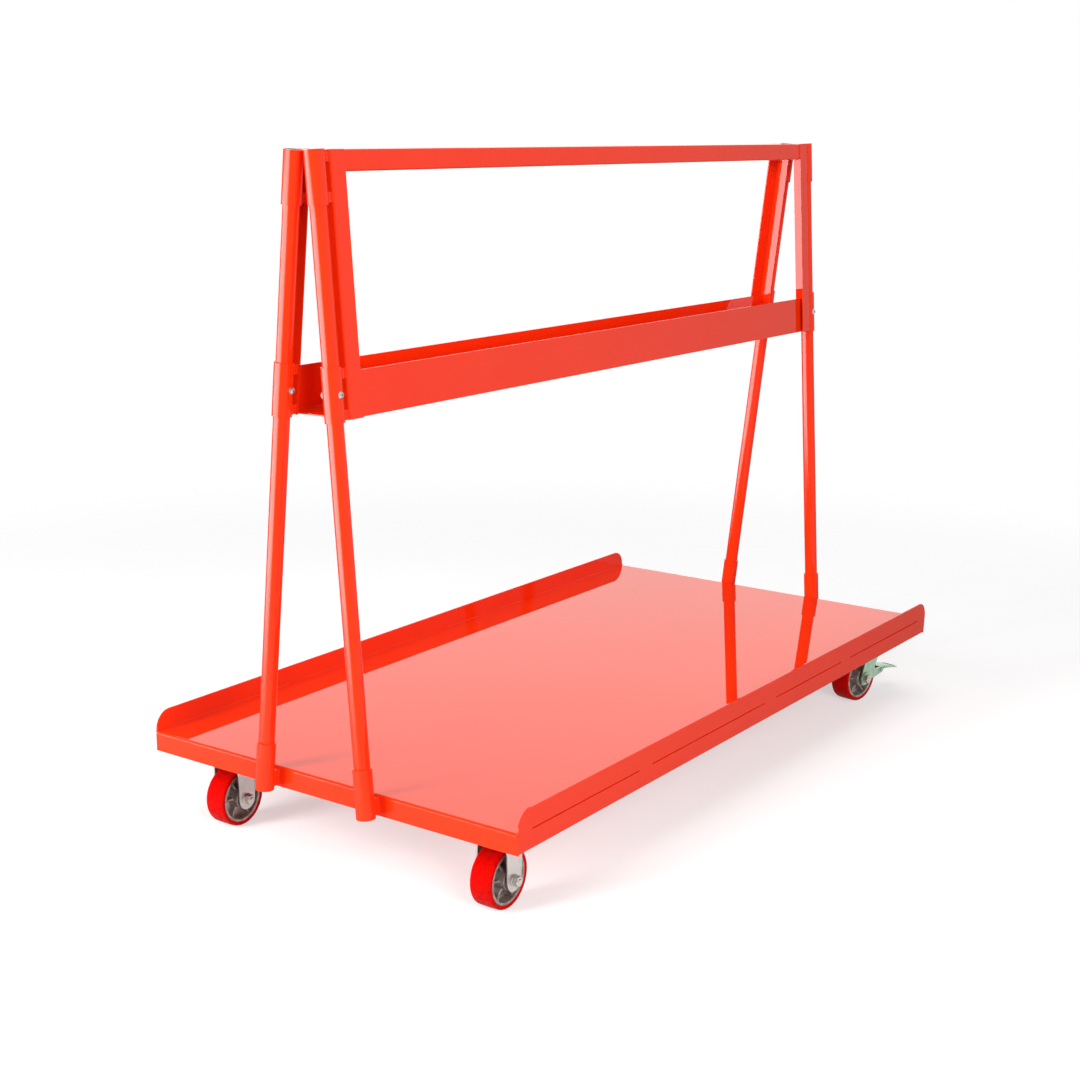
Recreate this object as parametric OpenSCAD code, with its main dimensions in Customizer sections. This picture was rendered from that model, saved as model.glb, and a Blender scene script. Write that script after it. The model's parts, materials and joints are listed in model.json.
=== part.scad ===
// A-frame panel trolley: a lipped sheet-metal deck on two fixed and two braked swivel castors,
// with two leaning rack frames on four plug-in tube legs. Millimetres, +Z up.
// Origin: on the floor, under the middle of the deck. X runs along the deck, the swivel castors at +X.
// Front is the -Y side.

/* [Deck] */
// Length of the deck
deck_length = 1860; // [1500:10:2300]
// Width of the deck
deck_width = 920; // [760:10:1200]
// Thickness of the deck sheet
deck_sheet = 3; // [2:0.5:4]
// Height of the upturned long lips above the deck
lip_height = 42; // [40:1:70]
// Radius of the rounded ends of the lips
lip_end_radius = 40; // [10:1:40]
// Depth of the end skirts and side rails below the deck top
skirt_depth = 42; // [40:1:60]
// Width of the inward flange of a side rail
rail_flange = 25; // [15:1:35]
// Length of each ground weld that closes the side seam
seam_weld_length = 52; // [20:1:80]
// Distance from a deck end to the start of the open seam
seam_end_margin = 44; // [10:1:80]
// Width of the channel that carries a pair of castors
castor_channel_width = 120; // [116:1:160]
// Width of a deck stiffener
stiffener_width = 40; // [25:1:60]
// Distance between neighbouring deck stiffeners
stiffener_pitch = 400; // [250:10:480]

/* [Legs] */
// Outside diameter of a leg tube
leg_diameter = 32; // [28:0.5:38]
// Wall of a leg tube
leg_wall = 2.5; // [1.5:0.5:4]
// Height of the leg tops above the deck
leg_height = 1178; // [1000:1:1400]
// Lean of the legs towards each other, in degrees
leg_lean = 5; // [3:0.5:7]
// Distance of a leg axis from the middle plane at its top
leg_top_offset = 23; // [22:1:50]
// Wall of the sockets and sleeves
sleeve_wall = 2.8; // [2:0.1:4]
// Clearance between a leg and its socket or sleeve
sleeve_clearance = 0.2; // [0.1:0.05:0.4]
// Gap from the deck end to a socket
sleeve_gap = 9; // [6:0.5:16]
// Length of a socket
socket_length = 100; // [80:1:140]
// Distance of the socket's lower end below the deck, along the leg
socket_drop = 41; // [20:1:60]
// Thickness of the disc that closes the foot of a socket
socket_floor = 4; // [2:0.5:8]
// Width of the spacer between the deck end and a socket
spacer_width = 20; // [12:1:30]

/* [Racks] */
// Thickness of the rack sheet
rack_sheet = 2.5; // [1.5:0.5:3]
// Distance of the rack face outside the leg axis
rack_face = 18; // [15:0.5:19]
// Height of the lower edge of the racks, along the leg
rack_base = 711; // [600:1:760]
// Height of a kick rail
kick_rail_height = 85; // [70:1:120]
// Distance of a kick rail behind the rack face
kick_rail_recess = 10.5; // [4:0.5:14]
// Height of the top rail
top_rail_height = 38; // [30:1:60]
// Width of an upright's face
upright_width = 39; // [25:1:60]
// Depth of an upright's flange
upright_depth = 37; // [34:1:40]
// Gap between an upright's flange and the sleeves
rack_gap = 2.5; // [1:0.5:6]
// Depth of a top rail
rail_depth = 22; // [16:1:26]
// Width of the lips of a top rail
top_rail_lip = 8; // [4:1:12]
// Distance from the rack's lower edge down to the middle sleeve's end
middle_sleeve_drop = 3; // [0:1:12]
// Length of a middle sleeve
middle_sleeve_length = 100; // [80:1:140]
// Length of a top sleeve
top_sleeve_length = 95; // [70:1:130]
// Height of a sleeve tab
tab_height = 18; // [10:1:26]
// Width of a sleeve tab
tab_width = 28; // [16:1:32]
// Distance from a sleeve's end to its tab
tab_inset = 4; // [0:1:8]
// Thread diameter of a sleeve bolt
sleeve_bolt_diameter = 8; // [6:1:10]

/* [Castors] */
// Wheel diameter
wheel_diameter = 125; // [115:1:130]
// Width of the tyre
tyre_width = 50; // [40:1:54]
// Thickness of the tyre
tyre_thickness = 9; // [7:0.5:12]
// Height of a castor from the floor to the top of its plate
castor_height = 165; // [163:1:180]
// Distance of the castors from the deck ends
castor_inset_x = 108; // [85:1:160]
// Distance of the castors from the long sides
castor_inset_y = 117; // [100:1:160]
// Offset of a swivel castor's wheel behind its pivot
trail = 36; // [34:1:46]
// Turn of the front swivel castor at rest, in degrees
front_swivel_turn = -10; // [-30:1:30]
// Turn of the rear swivel castor at rest, in degrees
rear_swivel_turn = 0; // [-30:1:30]
// Gap between the legs of a fork
fork_gap = 58; // [56:0.5:62]
// Thickness of the fork sheet
fork_sheet = 4; // [3:0.5:5]
// Length of a castor plate
plate_length = 105; // [100:1:112]
// Width of a castor plate
plate_width = 85; // [80:1:100]
// Thickness of the pad plate above a castor
pad_thickness = 3; // [2:0.5:6]
// Bolt spacing of a castor plate along the deck
plate_hole_x = 80; // [78:1:84]
// Bolt spacing of a castor plate across the deck
plate_hole_y = 60; // [56:1:64]
// Thread diameter of a castor bolt
castor_bolt_diameter = 10; // [8:1:10]
// Thread diameter of an axle bolt
axle_diameter = 12; // [10:1:12]
// Number of ribs on each side of a hub
hub_ribs = 6; // [4:1:8]
// Reach of a brake pedal's tip in front of the swivel
pedal_reach = 160; // [145:1:165]
// Width of a brake pedal
pedal_width = 36; // [32:1:44]

/* [Hidden] */
$fn = 48;

RED = "#f0401c";
ZINC = "#c3c6c2";
IRON = "#6d6a66";
TYRE_RED = "#e01208";
BLACK = "#202020";

// Heights that stack up from the floor
frame_depth = skirt_depth - deck_sheet;
channel_base = castor_height + pad_thickness;
deck_top = channel_base + frame_depth + deck_sheet;
deck_under = deck_top - deck_sheet;
half_length = deck_length / 2;
half_width = deck_width / 2;

// Bends of the deck and rack sheets
deck_bend = deck_sheet;
rack_bend = rack_sheet;
bend_outer = deck_bend + deck_sheet / 2;
bend_steps = 5;

// Ground welds along the side seam, as shares of the deck length from the middle
seam_weld_places = [-0.26, 0.03, 0.241];

// Legs: radii, feet and lengths along the leaning axis
leg_radius = leg_diameter / 2;
leg_bore = leg_radius - leg_wall;
sleeve_bore = leg_radius + sleeve_clearance;
sleeve_radius = sleeve_bore + sleeve_wall;
leg_x = half_length + sleeve_gap + sleeve_radius;
foot_y = leg_top_offset + leg_height * tan(leg_lean);
leg_end = leg_height / cos(leg_lean);
plug_flange = 1.5;
plug_depth = 18;
plug_wall = 2;
plug_clearance = 0.1;

// Racks, measured along the leaning leg from the deck
rack_half = leg_x - sleeve_radius - rack_gap;
rail_half = rack_half - rack_sheet;
kick_face = rack_face - kick_rail_recess;
kick_inner = kick_face - rack_sheet;
rack_top = leg_end - 1;
top_rail_base = rack_top - top_rail_height;
middle_sleeve_base = rack_base - middle_sleeve_drop;
middle_bolt_height = middle_sleeve_base + middle_sleeve_length / 2;
top_sleeve_base = leg_end - top_sleeve_length;

// Bolts: head and nut sizes follow the thread
hex_share = 1.6;
hex_head_share = 0.64;
hex_nut_share = 0.8;
sleeve_bolt_radius = sleeve_bolt_diameter / 2;
castor_bolt_radius = castor_bolt_diameter / 2;
bolt_hole_clearance = 0.3;
thread_end = 2;

// Castors
castor_x = half_length - castor_inset_x;
castor_y = half_width - castor_inset_y;
wheel_radius = wheel_diameter / 2;
rim_radius = wheel_radius - tyre_thickness;
rim_thickness = 6;
rim_width = tyre_width - 4;
tyre_shoulder = 5;
plate_thickness = 4;
plate_under = castor_height - plate_thickness;
plate_corner = 8;
fork_half = fork_gap / 2;
fork_outer = fork_half + fork_sheet;
fork_bend = 1.5 * fork_sheet;
axle_radius = axle_diameter / 2;
bush_radius = axle_radius + 1.45;
bearing_clearance = 0.05;
bearing_bore = bush_radius + bearing_clearance;
bearing_radius = bearing_bore + 10;
bearing_width = 11;
hub_clearance = 1;
boss_half = fork_half - hub_clearance;
boss_radius = bearing_radius + 5;
web_thickness = 6;
rib_thickness = 5;
axle_boss = 21;
fixed_fork_foot = 24;
fixed_leg_top = 27;

// Swivel head, from the castor plate down
race_radius = 32;
race_height = 5.6;
race_gap = 0.4;
race_rim_gap = 0.6;
race_rim = 3.4;
race_rim_height = 3;
crown_radius = race_radius + race_rim_gap + race_rim;
crown_height = 8;
crown_top = plate_under - race_height - race_gap;
crown_base = crown_top - crown_height;
fork_top = crown_base;
fork_crown_half = 29;
hollow_radius = 15;
kingpin_radius = 8;
kingpin_clearance = 0.05;
kingpin_head = 12;
kingpin_head_height = 7;

// Brake pedal, in the side view of its castor: pivot, curve and shoe
pedal_pivot = [wheel_radius + 11.5 - trail, wheel_radius + 9.5];
pedal_ear = 9;
pedal_pin_radius = 4;
pedal_pin_clearance = 0.05;
pedal_boss_radius = 7.5;
pedal_side_gap = 0.3;
pedal_thickness = 3.5;
pedal_rib = 3;
pedal_curve_steps = 10;
pedal_cheek_steps = 7;
pedal_tip_radius = 12;
shoe_gap = 3.8;
shoe_angle = -4;
pin_head_radius = 6.5;
pin_head_height = 2.5;

// Points of an arc that blends a right-angled turn at v, from direction d0 into d1
function bend_points(v, d0, d1, side, radius) =
    let (turn = sign(d0.x * d1.y - d0.y * d1.x), centre = v + radius * (d1 - d0), r = radius - turn * side)
    [for (i = [0:bend_steps]) centre + r * (d0 * sin(90 * i / bend_steps) - d1 * cos(90 * i / bend_steps))];

// Unit direction of run i of a path, and a direction's left-hand normal
function run_of(path, i) = (path[i + 1] - path[i]) / norm(path[i + 1] - path[i]);
function left_of(d) = [-d.y, d.x];

// One side of a folded strip: its centre line moved sideways, with bends of the given radius
function strip_side(path, side, radius) =
    let (last = len(path) - 1)
    concat(
        [path[0] + side * left_of(run_of(path, 0))],
        [for (i = [1:last - 1])
            for (p = bend_points(path[i], run_of(path, i - 1), run_of(path, i), side, radius)) p],
        [path[last] + side * left_of(run_of(path, last - 1))]
    );

function backwards(points) = [for (i = [len(points) - 1:-1:0]) points[i]];

// Section of a folded sheet along a centre line of straight runs and right-angled bends
module folded_section(path, sheet, radius) {
    polygon(concat(strip_side(path, sheet / 2, radius), backwards(strip_side(path, -sheet / 2, radius))));
}

// Rectangle with round corners
module round_rectangle(size_x, size_y, radius) {
    square([size_x - 2 * radius, size_y], center = true);
    square([size_x, size_y - 2 * radius], center = true);
    for (sx = [-1, 1])
        for (sy = [-1, 1])
            translate([sx * (size_x / 2 - radius), sy * (size_y / 2 - radius)]) circle(r = radius);
}

// Extrudes a section drawn in (y, z) along X, centred on the origin
module along_x(length) {
    rotate([90, 0, 90]) translate([0, 0, -length / 2]) linear_extrude(length) children();
}

// Extrudes a section drawn in (x, z) along Y, from y0 to y1
module along_y(y0, y1) {
    translate([0, y1, 0]) rotate([90, 0, 0]) linear_extrude(y1 - y0) children();
}

// Puts a rear-side piece in place, or mirrors it to the front
module on_side(side) {
    if (side > 0) children();
    else mirror([0, 1, 0]) children();
}

// Rack frame of reference: x along the deck, y out of the rack face, z up along the leaning leg
module leaning(side) {
    on_side(side) translate([0, foot_y, deck_top]) rotate([leg_lean, 0, 0]) children();
}

module at_leg(end, side) {
    leaning(side) translate([end * leg_x, 0, 0]) children();
}

module at_castor(end, side) {
    translate([end * castor_x, side * castor_y, 0]) children();
}

module at_swivel(side, turn) {
    at_castor(1, side) rotate([0, 0, turn]) children();
}

// Tube standing on z = base
module tube(radius, bore, base, length) {
    translate([0, 0, base]) difference() {
        cylinder(r = radius, h = length);
        translate([0, 0, -1]) cylinder(r = bore, h = length + 2);
    }
}

// Hexagonal prism along Z, sized for a thread
module hexagon(thread, height) {
    cylinder(d = thread * hex_share / cos(30), h = height, $fn = 6);
}

// Deck, side rails and stiffeners

module deck_tray() {
    lip_line = half_width - deck_sheet / 2;
    skirt_line = half_length - deck_sheet / 2;
    middle = deck_top - deck_sheet / 2;
    color(RED) union() {
        // Deck sheet with its downturned end skirts
        along_y(-half_width + bend_outer, half_width - bend_outer)
            folded_section([[-skirt_line, deck_top - skirt_depth], [-skirt_line, middle], [skirt_line, middle],
                            [skirt_line, deck_top - skirt_depth]], deck_sheet, deck_bend);
        for (end = [-1, 1])
            translate([end * skirt_line - deck_sheet / 2, -half_width, deck_top - skirt_depth])
                cube([deck_sheet, deck_width, skirt_depth - bend_outer]);
        // Upturned lips, whose ends are rounded
        for (side = [-1, 1]) on_side(side) intersection() {
            along_x(deck_length)
                folded_section([[half_width - bend_outer - 0.5, middle], [lip_line, middle],
                                [lip_line, deck_top + lip_height]], deck_sheet, deck_bend);
            along_y(0, half_width + 1) lip_outline();
        }
        // Ground welds that close the groove under the lip bends
        for (side = [-1, 1]) {
            for (place = seam_weld_places) seam_weld(side, place * deck_length, seam_weld_length);
            for (end = [-1, 1])
                seam_weld(side, end * (half_length - seam_end_margin / 2), seam_end_margin);
        }
    }
}

// Side view of the deck sheet and lips, with the lips' ends rounded off
module lip_outline() {
    top = deck_top + lip_height;
    translate([-half_length, deck_under]) square([deck_length, lip_height + deck_sheet - lip_end_radius]);
    translate([-half_length + lip_end_radius, deck_under])
        square([deck_length - 2 * lip_end_radius, lip_height + deck_sheet]);
    for (end = [-1, 1])
        translate([end * (half_length - lip_end_radius), top - lip_end_radius])
            circle(r = lip_end_radius, $fn = 96);
}

module seam_weld(side, place, length) {
    depth = bend_outer + 0.5;
    translate([place - length / 2, side > 0 ? half_width - depth : -half_width, deck_under])
        cube([length, depth, bend_outer]);
}

module side_rail(side) {
    face = half_width - deck_sheet / 2;
    foot = deck_top - skirt_depth + deck_sheet / 2;
    color(RED) on_side(side) along_x(deck_length - 2 * deck_sheet)
        folded_section([[face, deck_under], [face, foot], [half_width - rail_flange, foot]],
                       deck_sheet, deck_bend);
}
module front_side_rail() { side_rail(-1); }
module rear_side_rail() { side_rail(1); }

// Upturned channel across the deck, between the flanges of the side rails
module cross_channel(place, width) {
    line = width / 2 - deck_sheet / 2;
    base = channel_base + deck_sheet / 2;
    span = half_width - rail_flange;
    translate([place, 0, 0]) along_y(-span, span)
        folded_section([[-line, deck_under], [-line, base], [line, base], [line, deck_under]],
                       deck_sheet, deck_bend);
}

module castor_channel(end) {
    color(RED) difference() {
        cross_channel(end * castor_x, castor_channel_width);
        for (side = [-1, 1]) at_castor(end, side) plate_holes(channel_base - 1, deck_sheet + 2);
    }
}
module castor_channel_left() { castor_channel(-1); }
module castor_channel_right() { castor_channel(1); }

module deck_stiffeners() {
    color(RED) for (i = [-1:1]) cross_channel(i * stiffener_pitch, stiffener_width);
}

// Legs and their sockets

module leg_sockets() {
    color(RED) for (end = [-1, 1]) for (side = [-1, 1]) at_leg(end, side)
        difference() {
            translate([0, 0, -socket_drop]) cylinder(r = sleeve_radius, h = socket_length);
            translate([0, 0, socket_floor - socket_drop]) cylinder(r = sleeve_bore, h = socket_length);
        }
}

// Block across a gap, from a flat face out to the round of a socket or sleeve
module saddle_block(end, gap, width, base, height) {
    hollow = sleeve_radius - sqrt(sleeve_radius * sleeve_radius - width * width / 4);
    reach = gap + 0.9 * hollow;
    face = leg_x - sleeve_radius - gap;
    difference() {
        translate([end > 0 ? face : -face - reach, -width / 2, base]) cube([reach, width, height]);
        translate([end * leg_x, 0, base - 1]) cylinder(r = sleeve_radius, h = height + 2);
    }
}

module socket_spacers() {
    base = 2 - socket_drop;
    color(RED) for (end = [-1, 1]) for (side = [-1, 1])
        leaning(side) saddle_block(end, sleeve_gap, spacer_width, base, -bend_outer - base);
}

module leg(end, side) {
    base = socket_floor - socket_drop;
    color(RED) at_leg(end, side) difference() {
        tube(leg_radius, leg_bore, base, leg_end - plug_flange - base);
        translate([0, 0, middle_bolt_height]) rotate([90, 0, 0])
            cylinder(r = sleeve_bolt_radius + bolt_hole_clearance, h = 3 * leg_radius, center = true);
    }
}
module leg_front_left() { leg(-1, -1); }
module leg_front_right() { leg(1, -1); }
module leg_rear_left() { leg(-1, 1); }
module leg_rear_right() { leg(1, 1); }

// Push-in plugs that close the leg tops
module leg_plugs() {
    color(BLACK) for (end = [-1, 1]) for (side = [-1, 1]) at_leg(end, side) {
        translate([0, 0, leg_end - plug_flange]) cylinder(r = leg_radius, h = plug_flange);
        tube(leg_bore - plug_clearance, leg_bore - plug_wall, leg_end - plug_flange - plug_depth, plug_depth);
    }
}

// Rack frames

// Folded rail behind the uprights' faces, ending short of their bends
module top_rail(side) {
    outer = rack_face - 1.5 * rack_sheet;
    inner = rack_face - rail_depth - rack_sheet / 2;
    low = top_rail_base + rack_sheet / 2;
    high = rack_top - rack_sheet / 2;
    color(RED) leaning(side) along_x(2 * rail_half - rack_bend)
        folded_section([[inner, low + top_rail_lip], [inner, low], [outer, low], [outer, high],
                        [inner, high], [inner, high - top_rail_lip]], rack_sheet, rack_bend);
}
module front_top_rail() { top_rail(-1); }
module rear_top_rail() { top_rail(1); }

module kick_rail(side) {
    color(RED) leaning(side)
        translate([-rail_half, kick_inner, rack_base]) cube([2 * rail_half, rack_sheet, kick_rail_height]);
}
module front_kick_rail() { kick_rail(-1); }
module rear_kick_rail() { kick_rail(1); }

// Distance of a kick rail's inner face from the middle plane, at a height above the deck
function kick_rail_reach(height) = foot_y + kick_inner / cos(leg_lean) - height * tan(leg_lean);

// Floor sheet that joins the lower edges of the two kick rails into a trough
module trough_floor() {
    base = rack_base * cos(leg_lean) + kick_inner * sin(leg_lean);
    low = kick_rail_reach(base);
    high = kick_rail_reach(base + rack_sheet);
    color(RED) translate([0, 0, deck_top + base]) along_x(2 * rail_half)
        polygon([[-low, 0], [low, 0], [high, rack_sheet], [-high, rack_sheet]]);
}

// Angle upright: its face outward and its flange beside the leg
module upright(end, side) {
    outer = rack_half - rack_sheet / 2;
    face = rack_face - rack_sheet / 2;
    color(RED) leaning(side) translate([0, 0, rack_base]) linear_extrude(rack_top - rack_base)
        folded_section([[end * (rack_half - upright_width), face], [end * outer, face],
                        [end * outer, rack_face - upright_depth]], rack_sheet, rack_bend);
}
module front_upright_left() { upright(-1, -1); }
module front_upright_right() { upright(1, -1); }
module rear_upright_left() { upright(-1, 1); }
module rear_upright_right() { upright(1, 1); }

module top_sleeves() {
    color(RED) for (end = [-1, 1]) for (side = [-1, 1]) at_leg(end, side)
        tube(sleeve_radius, sleeve_bore, top_sleeve_base, top_sleeve_length);
}

module middle_sleeves() {
    color(RED) for (end = [-1, 1]) for (side = [-1, 1]) at_leg(end, side) difference() {
        tube(sleeve_radius, sleeve_bore, middle_sleeve_base, middle_sleeve_length);
        translate([0, 0, middle_bolt_height]) rotate([90, 0, 0])
            cylinder(r = sleeve_bolt_radius + bolt_hole_clearance, h = 3 * sleeve_radius, center = true);
    }
}

// Tabs that weld the sleeves to the uprights, two to a sleeve
module sleeve_tabs() {
    middle_top = middle_sleeve_base + middle_sleeve_length;
    color(RED) for (end = [-1, 1]) for (side = [-1, 1]) leaning(side)
        for (base = [middle_sleeve_base + tab_inset, middle_top - tab_inset - tab_height,
                     top_sleeve_base + tab_inset, leg_end - tab_inset - tab_height])
            saddle_block(end, rack_gap, tab_width, base, tab_height);
}

// Places a piece on the sleeve bolt's axis, with z pointing out of the rack
module at_sleeve_bolt(end, side) {
    at_leg(end, side) translate([0, 0, middle_bolt_height]) rotate([-90, 0, 0]) children();
}

module sleeve_bolts() {
    head = 0.88 * sleeve_bolt_diameter;
    head_height = 0.55 * sleeve_bolt_diameter;
    end_length = hex_nut_share * sleeve_bolt_diameter + thread_end;
    color(ZINC) for (end = [-1, 1]) for (side = [-1, 1]) at_sleeve_bolt(end, side) {
        translate([0, 0, -sleeve_radius - end_length])
            cylinder(r = sleeve_bolt_radius, h = 2 * sleeve_radius + end_length + 0.1);
        translate([0, 0, sleeve_radius]) difference() {
            button_head(head, head_height);
            translate([0, 0, head_height / 2]) hexagon(0.4 * sleeve_bolt_diameter, head_height);
        }
    }
}

// Low domed head: a slice of a ball
module button_head(radius, height) {
    ball = (radius * radius + height * height) / (2 * height);
    rotate_extrude() intersection() {
        translate([0, height - ball]) circle(r = ball, $fn = 64);
        square([radius, height]);
    }
}

module sleeve_nuts() {
    height = hex_nut_share * sleeve_bolt_diameter;
    color(ZINC) for (end = [-1, 1]) for (side = [-1, 1]) at_sleeve_bolt(end, side)
        translate([0, 0, -sleeve_radius - height]) difference() {
            hexagon(sleeve_bolt_diameter, height);
            translate([0, 0, -1]) cylinder(r = sleeve_bolt_radius, h = height + 2);
        }
}

// Castor plates, pads and bolts

module plate_holes(base, height) {
    for (sx = [-1, 1]) for (sy = [-1, 1])
        translate([sx * plate_hole_x / 2, sy * plate_hole_y / 2, base])
            cylinder(r = castor_bolt_radius + bolt_hole_clearance, h = height);
}

module castor_plate_shape(base, thickness) {
    translate([0, 0, base]) linear_extrude(thickness)
        round_rectangle(plate_length, plate_width, plate_corner);
}

module castor_pads() {
    color(RED) for (end = [-1, 1]) for (side = [-1, 1]) at_castor(end, side) difference() {
        castor_plate_shape(castor_height, pad_thickness);
        plate_holes(castor_height - 1, pad_thickness + 2);
    }
}

module at_castor_bolts() {
    for (end = [-1, 1]) for (side = [-1, 1]) at_castor(end, side)
        for (sx = [-1, 1]) for (sy = [-1, 1])
            translate([sx * plate_hole_x / 2, sy * plate_hole_y / 2, 0]) children();
}

module castor_bolts() {
    head = hex_head_share * castor_bolt_diameter;
    nut = hex_nut_share * castor_bolt_diameter;
    grip = plate_thickness + pad_thickness + deck_sheet;
    color(ZINC) at_castor_bolts() {
        translate([0, 0, plate_under - head]) hexagon(castor_bolt_diameter, head);
        translate([0, 0, plate_under - head])
            cylinder(r = castor_bolt_radius, h = head + grip + nut + thread_end);
    }
}

module castor_nuts() {
    height = hex_nut_share * castor_bolt_diameter;
    color(ZINC) at_castor_bolts() translate([0, 0, channel_base + deck_sheet]) difference() {
        hexagon(castor_bolt_diameter, height);
        translate([0, 0, -1]) cylinder(r = castor_bolt_radius, h = height + 2);
    }
}

// Forks

// Point on a round end of radius r where a straight side from (x, z) runs in, just inside the circle;
// side +1 is the right-hand one
function run_in(x, z, r, side) =
    let (inner = 0.98 * r, a = atan2(z, x) - side * acos(inner / norm([x, z])))
    inner * [cos(a), sin(a)];

// Straight-sided leg with a round foot, as seen from the side; the foot's centre is the origin
module fork_leg_outline(half_top, height, foot) {
    t = run_in(half_top, height, foot, 1);
    circle(r = foot);
    polygon([[half_top, height], t, [-t.x, t.y], [-half_top, height]]);
}

// Fork pressed from one strip: two legs under a web, cut to the side view that follows
module pressed_fork(top) {
    line = fork_half + fork_sheet / 2;
    web = top - fork_sheet / 2;
    intersection() {
        along_x(2 * wheel_diameter)
            folded_section([[-line, 0], [-line, web], [line, web], [line, 0]], fork_sheet, fork_bend);
        along_y(-fork_outer, fork_outer) children();
    }
}

module axle_hole(x) {
    translate([x, 0, wheel_radius]) rotate([90, 0, 0])
        cylinder(r = axle_radius + 0.1, h = 4 * fork_outer, center = true);
}

module fixed_fork(side) {
    color(ZINC) at_castor(-1, side) difference() {
        union() {
            castor_plate_shape(plate_under, plate_thickness);
            pressed_fork(plate_under + 0.5) translate([0, wheel_radius])
                fork_leg_outline(fixed_leg_top, plate_under - wheel_radius + 0.5, fixed_fork_foot);
        }
        plate_holes(plate_under - 1, plate_thickness + 2);
        axle_hole(0);
    }
}
module fixed_fork_front() { fixed_fork(-1); }
module fixed_fork_rear() { fixed_fork(1); }

// Castor plate with the upper race pressed below it
module swivel_plate(side) {
    color(ZINC) at_castor(1, side) difference() {
        union() {
            castor_plate_shape(plate_under, plate_thickness);
            translate([0, 0, plate_under - race_height]) cylinder(r = race_radius, h = race_height + 1);
        }
        plate_holes(plate_under - 1, plate_thickness + 2);
        cylinder(r = kingpin_radius, h = castor_height + 1);
    }
}
module swivel_plate_front() { swivel_plate(-1); }
module swivel_plate_rear() { swivel_plate(1); }

module kingpins() {
    head_top = fork_top - fork_sheet - race_gap;
    color(ZINC) for (side = [-1, 1]) at_castor(1, side) {
        translate([0, 0, head_top - kingpin_head_height])
            cylinder(r = kingpin_head, h = kingpin_head_height, $fn = 6);
        translate([0, 0, head_top - kingpin_head_height / 2])
            cylinder(r = kingpin_radius, h = castor_height - head_top + kingpin_head_height / 2);
    }
}

// Side view of a swivel fork leg: crown, axle boss behind the pivot and ear for the pedal pin
module swivel_leg_outline() {
    axle = [-trail, wheel_radius];
    back = axle + run_in(trail - fork_crown_half, fork_top - wheel_radius, axle_boss, -1);
    front = pedal_pivot + run_in(fork_crown_half - pedal_pivot.x, fork_top - pedal_pivot.y, pedal_ear, 1);
    translate(axle) circle(r = axle_boss);
    translate(pedal_pivot) circle(r = pedal_ear);
    difference() {
        polygon([[-fork_crown_half, fork_top], back, axle, pedal_pivot + [0, -pedal_ear], front,
                 [fork_crown_half, fork_top]]);
        // Hollow between the axle boss and the pedal ear
        translate([(pedal_pivot.x - trail) / 2, wheel_radius - hollow_radius / 3]) circle(r = hollow_radius);
    }
}

module swivel_fork(side, turn) {
    color(ZINC) at_swivel(side, turn) difference() {
        union() {
            translate([0, 0, crown_base - 0.5])
                cylinder(r = crown_radius, h = crown_height + race_rim_height + 0.5);
            pressed_fork(fork_top) swivel_leg_outline();
        }
        // Seat of the upper race, inside the rim
        translate([0, 0, crown_top]) cylinder(r = race_radius + race_rim_gap, h = crown_height);
        cylinder(r = kingpin_radius + kingpin_clearance, h = castor_height);
        axle_hole(-trail);
        translate([pedal_pivot.x, 0, pedal_pivot.y]) rotate([90, 0, 0])
            cylinder(r = pedal_pin_radius, h = 4 * fork_outer, center = true);
    }
}
module swivel_fork_front() { swivel_fork(-1, front_swivel_turn); }
module swivel_fork_rear() { swivel_fork(1, rear_swivel_turn); }

// Axles, seen with z along the axle: the nut is on the -Y side of the fork

module on_axle(x) {
    translate([x, 0, wheel_radius]) rotate([90, 0, 0]) children();
}

module axle_bolt() {
    head = hex_head_share * axle_diameter;
    nut = hex_nut_share * axle_diameter + thread_end;
    translate([0, 0, -fork_outer - head]) hexagon(axle_diameter, head);
    translate([0, 0, -fork_outer - head]) cylinder(r = axle_radius, h = 2 * fork_outer + head + nut);
}

module axle_nut() {
    height = hex_nut_share * axle_diameter;
    translate([0, 0, fork_outer]) difference() {
        hexagon(axle_diameter, height);
        translate([0, 0, -1]) cylinder(r = axle_radius, h = height + 2);
    }
}

module axle_bush() {
    tube(bush_radius, axle_radius, -fork_half, fork_gap);
}

module fixed_axle_bolts() { color(ZINC) for (side = [-1, 1]) at_castor(-1, side) on_axle(0) axle_bolt(); }
module fixed_axle_nuts() { color(ZINC) for (side = [-1, 1]) at_castor(-1, side) on_axle(0) axle_nut(); }
module fixed_axle_bushes() { color(ZINC) for (side = [-1, 1]) at_castor(-1, side) on_axle(0) axle_bush(); }

module swivel_axle_bolt(side, turn) {
    color(ZINC) at_swivel(side, turn) on_axle(-trail) {
        axle_bolt();
        axle_nut();
    }
}
module axle_bolt_swivel_front() { swivel_axle_bolt(-1, front_swivel_turn); }
module axle_bolt_swivel_rear() { swivel_axle_bolt(1, rear_swivel_turn); }
module axle_bush_swivel_front() { color(ZINC) at_swivel(-1, front_swivel_turn) on_axle(-trail) axle_bush(); }
module axle_bush_swivel_rear() { color(ZINC) at_swivel(1, rear_swivel_turn) on_axle(-trail) axle_bush(); }

// Brake pedals

module pedal_pin(side, turn) {
    color(ZINC) at_swivel(side, turn) translate([pedal_pivot.x, 0, pedal_pivot.y]) rotate([90, 0, 0]) {
        cylinder(r = pedal_pin_radius, h = 2 * fork_outer, center = true);
        for (end = [-1, 1])
            translate([0, 0, end > 0 ? fork_outer : -fork_outer - pin_head_height])
                cylinder(r = pin_head_radius, h = pin_head_height);
    }
}
module pedal_pin_front() { pedal_pin(-1, front_swivel_turn); }
module pedal_pin_rear() { pedal_pin(1, rear_swivel_turn); }

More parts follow.
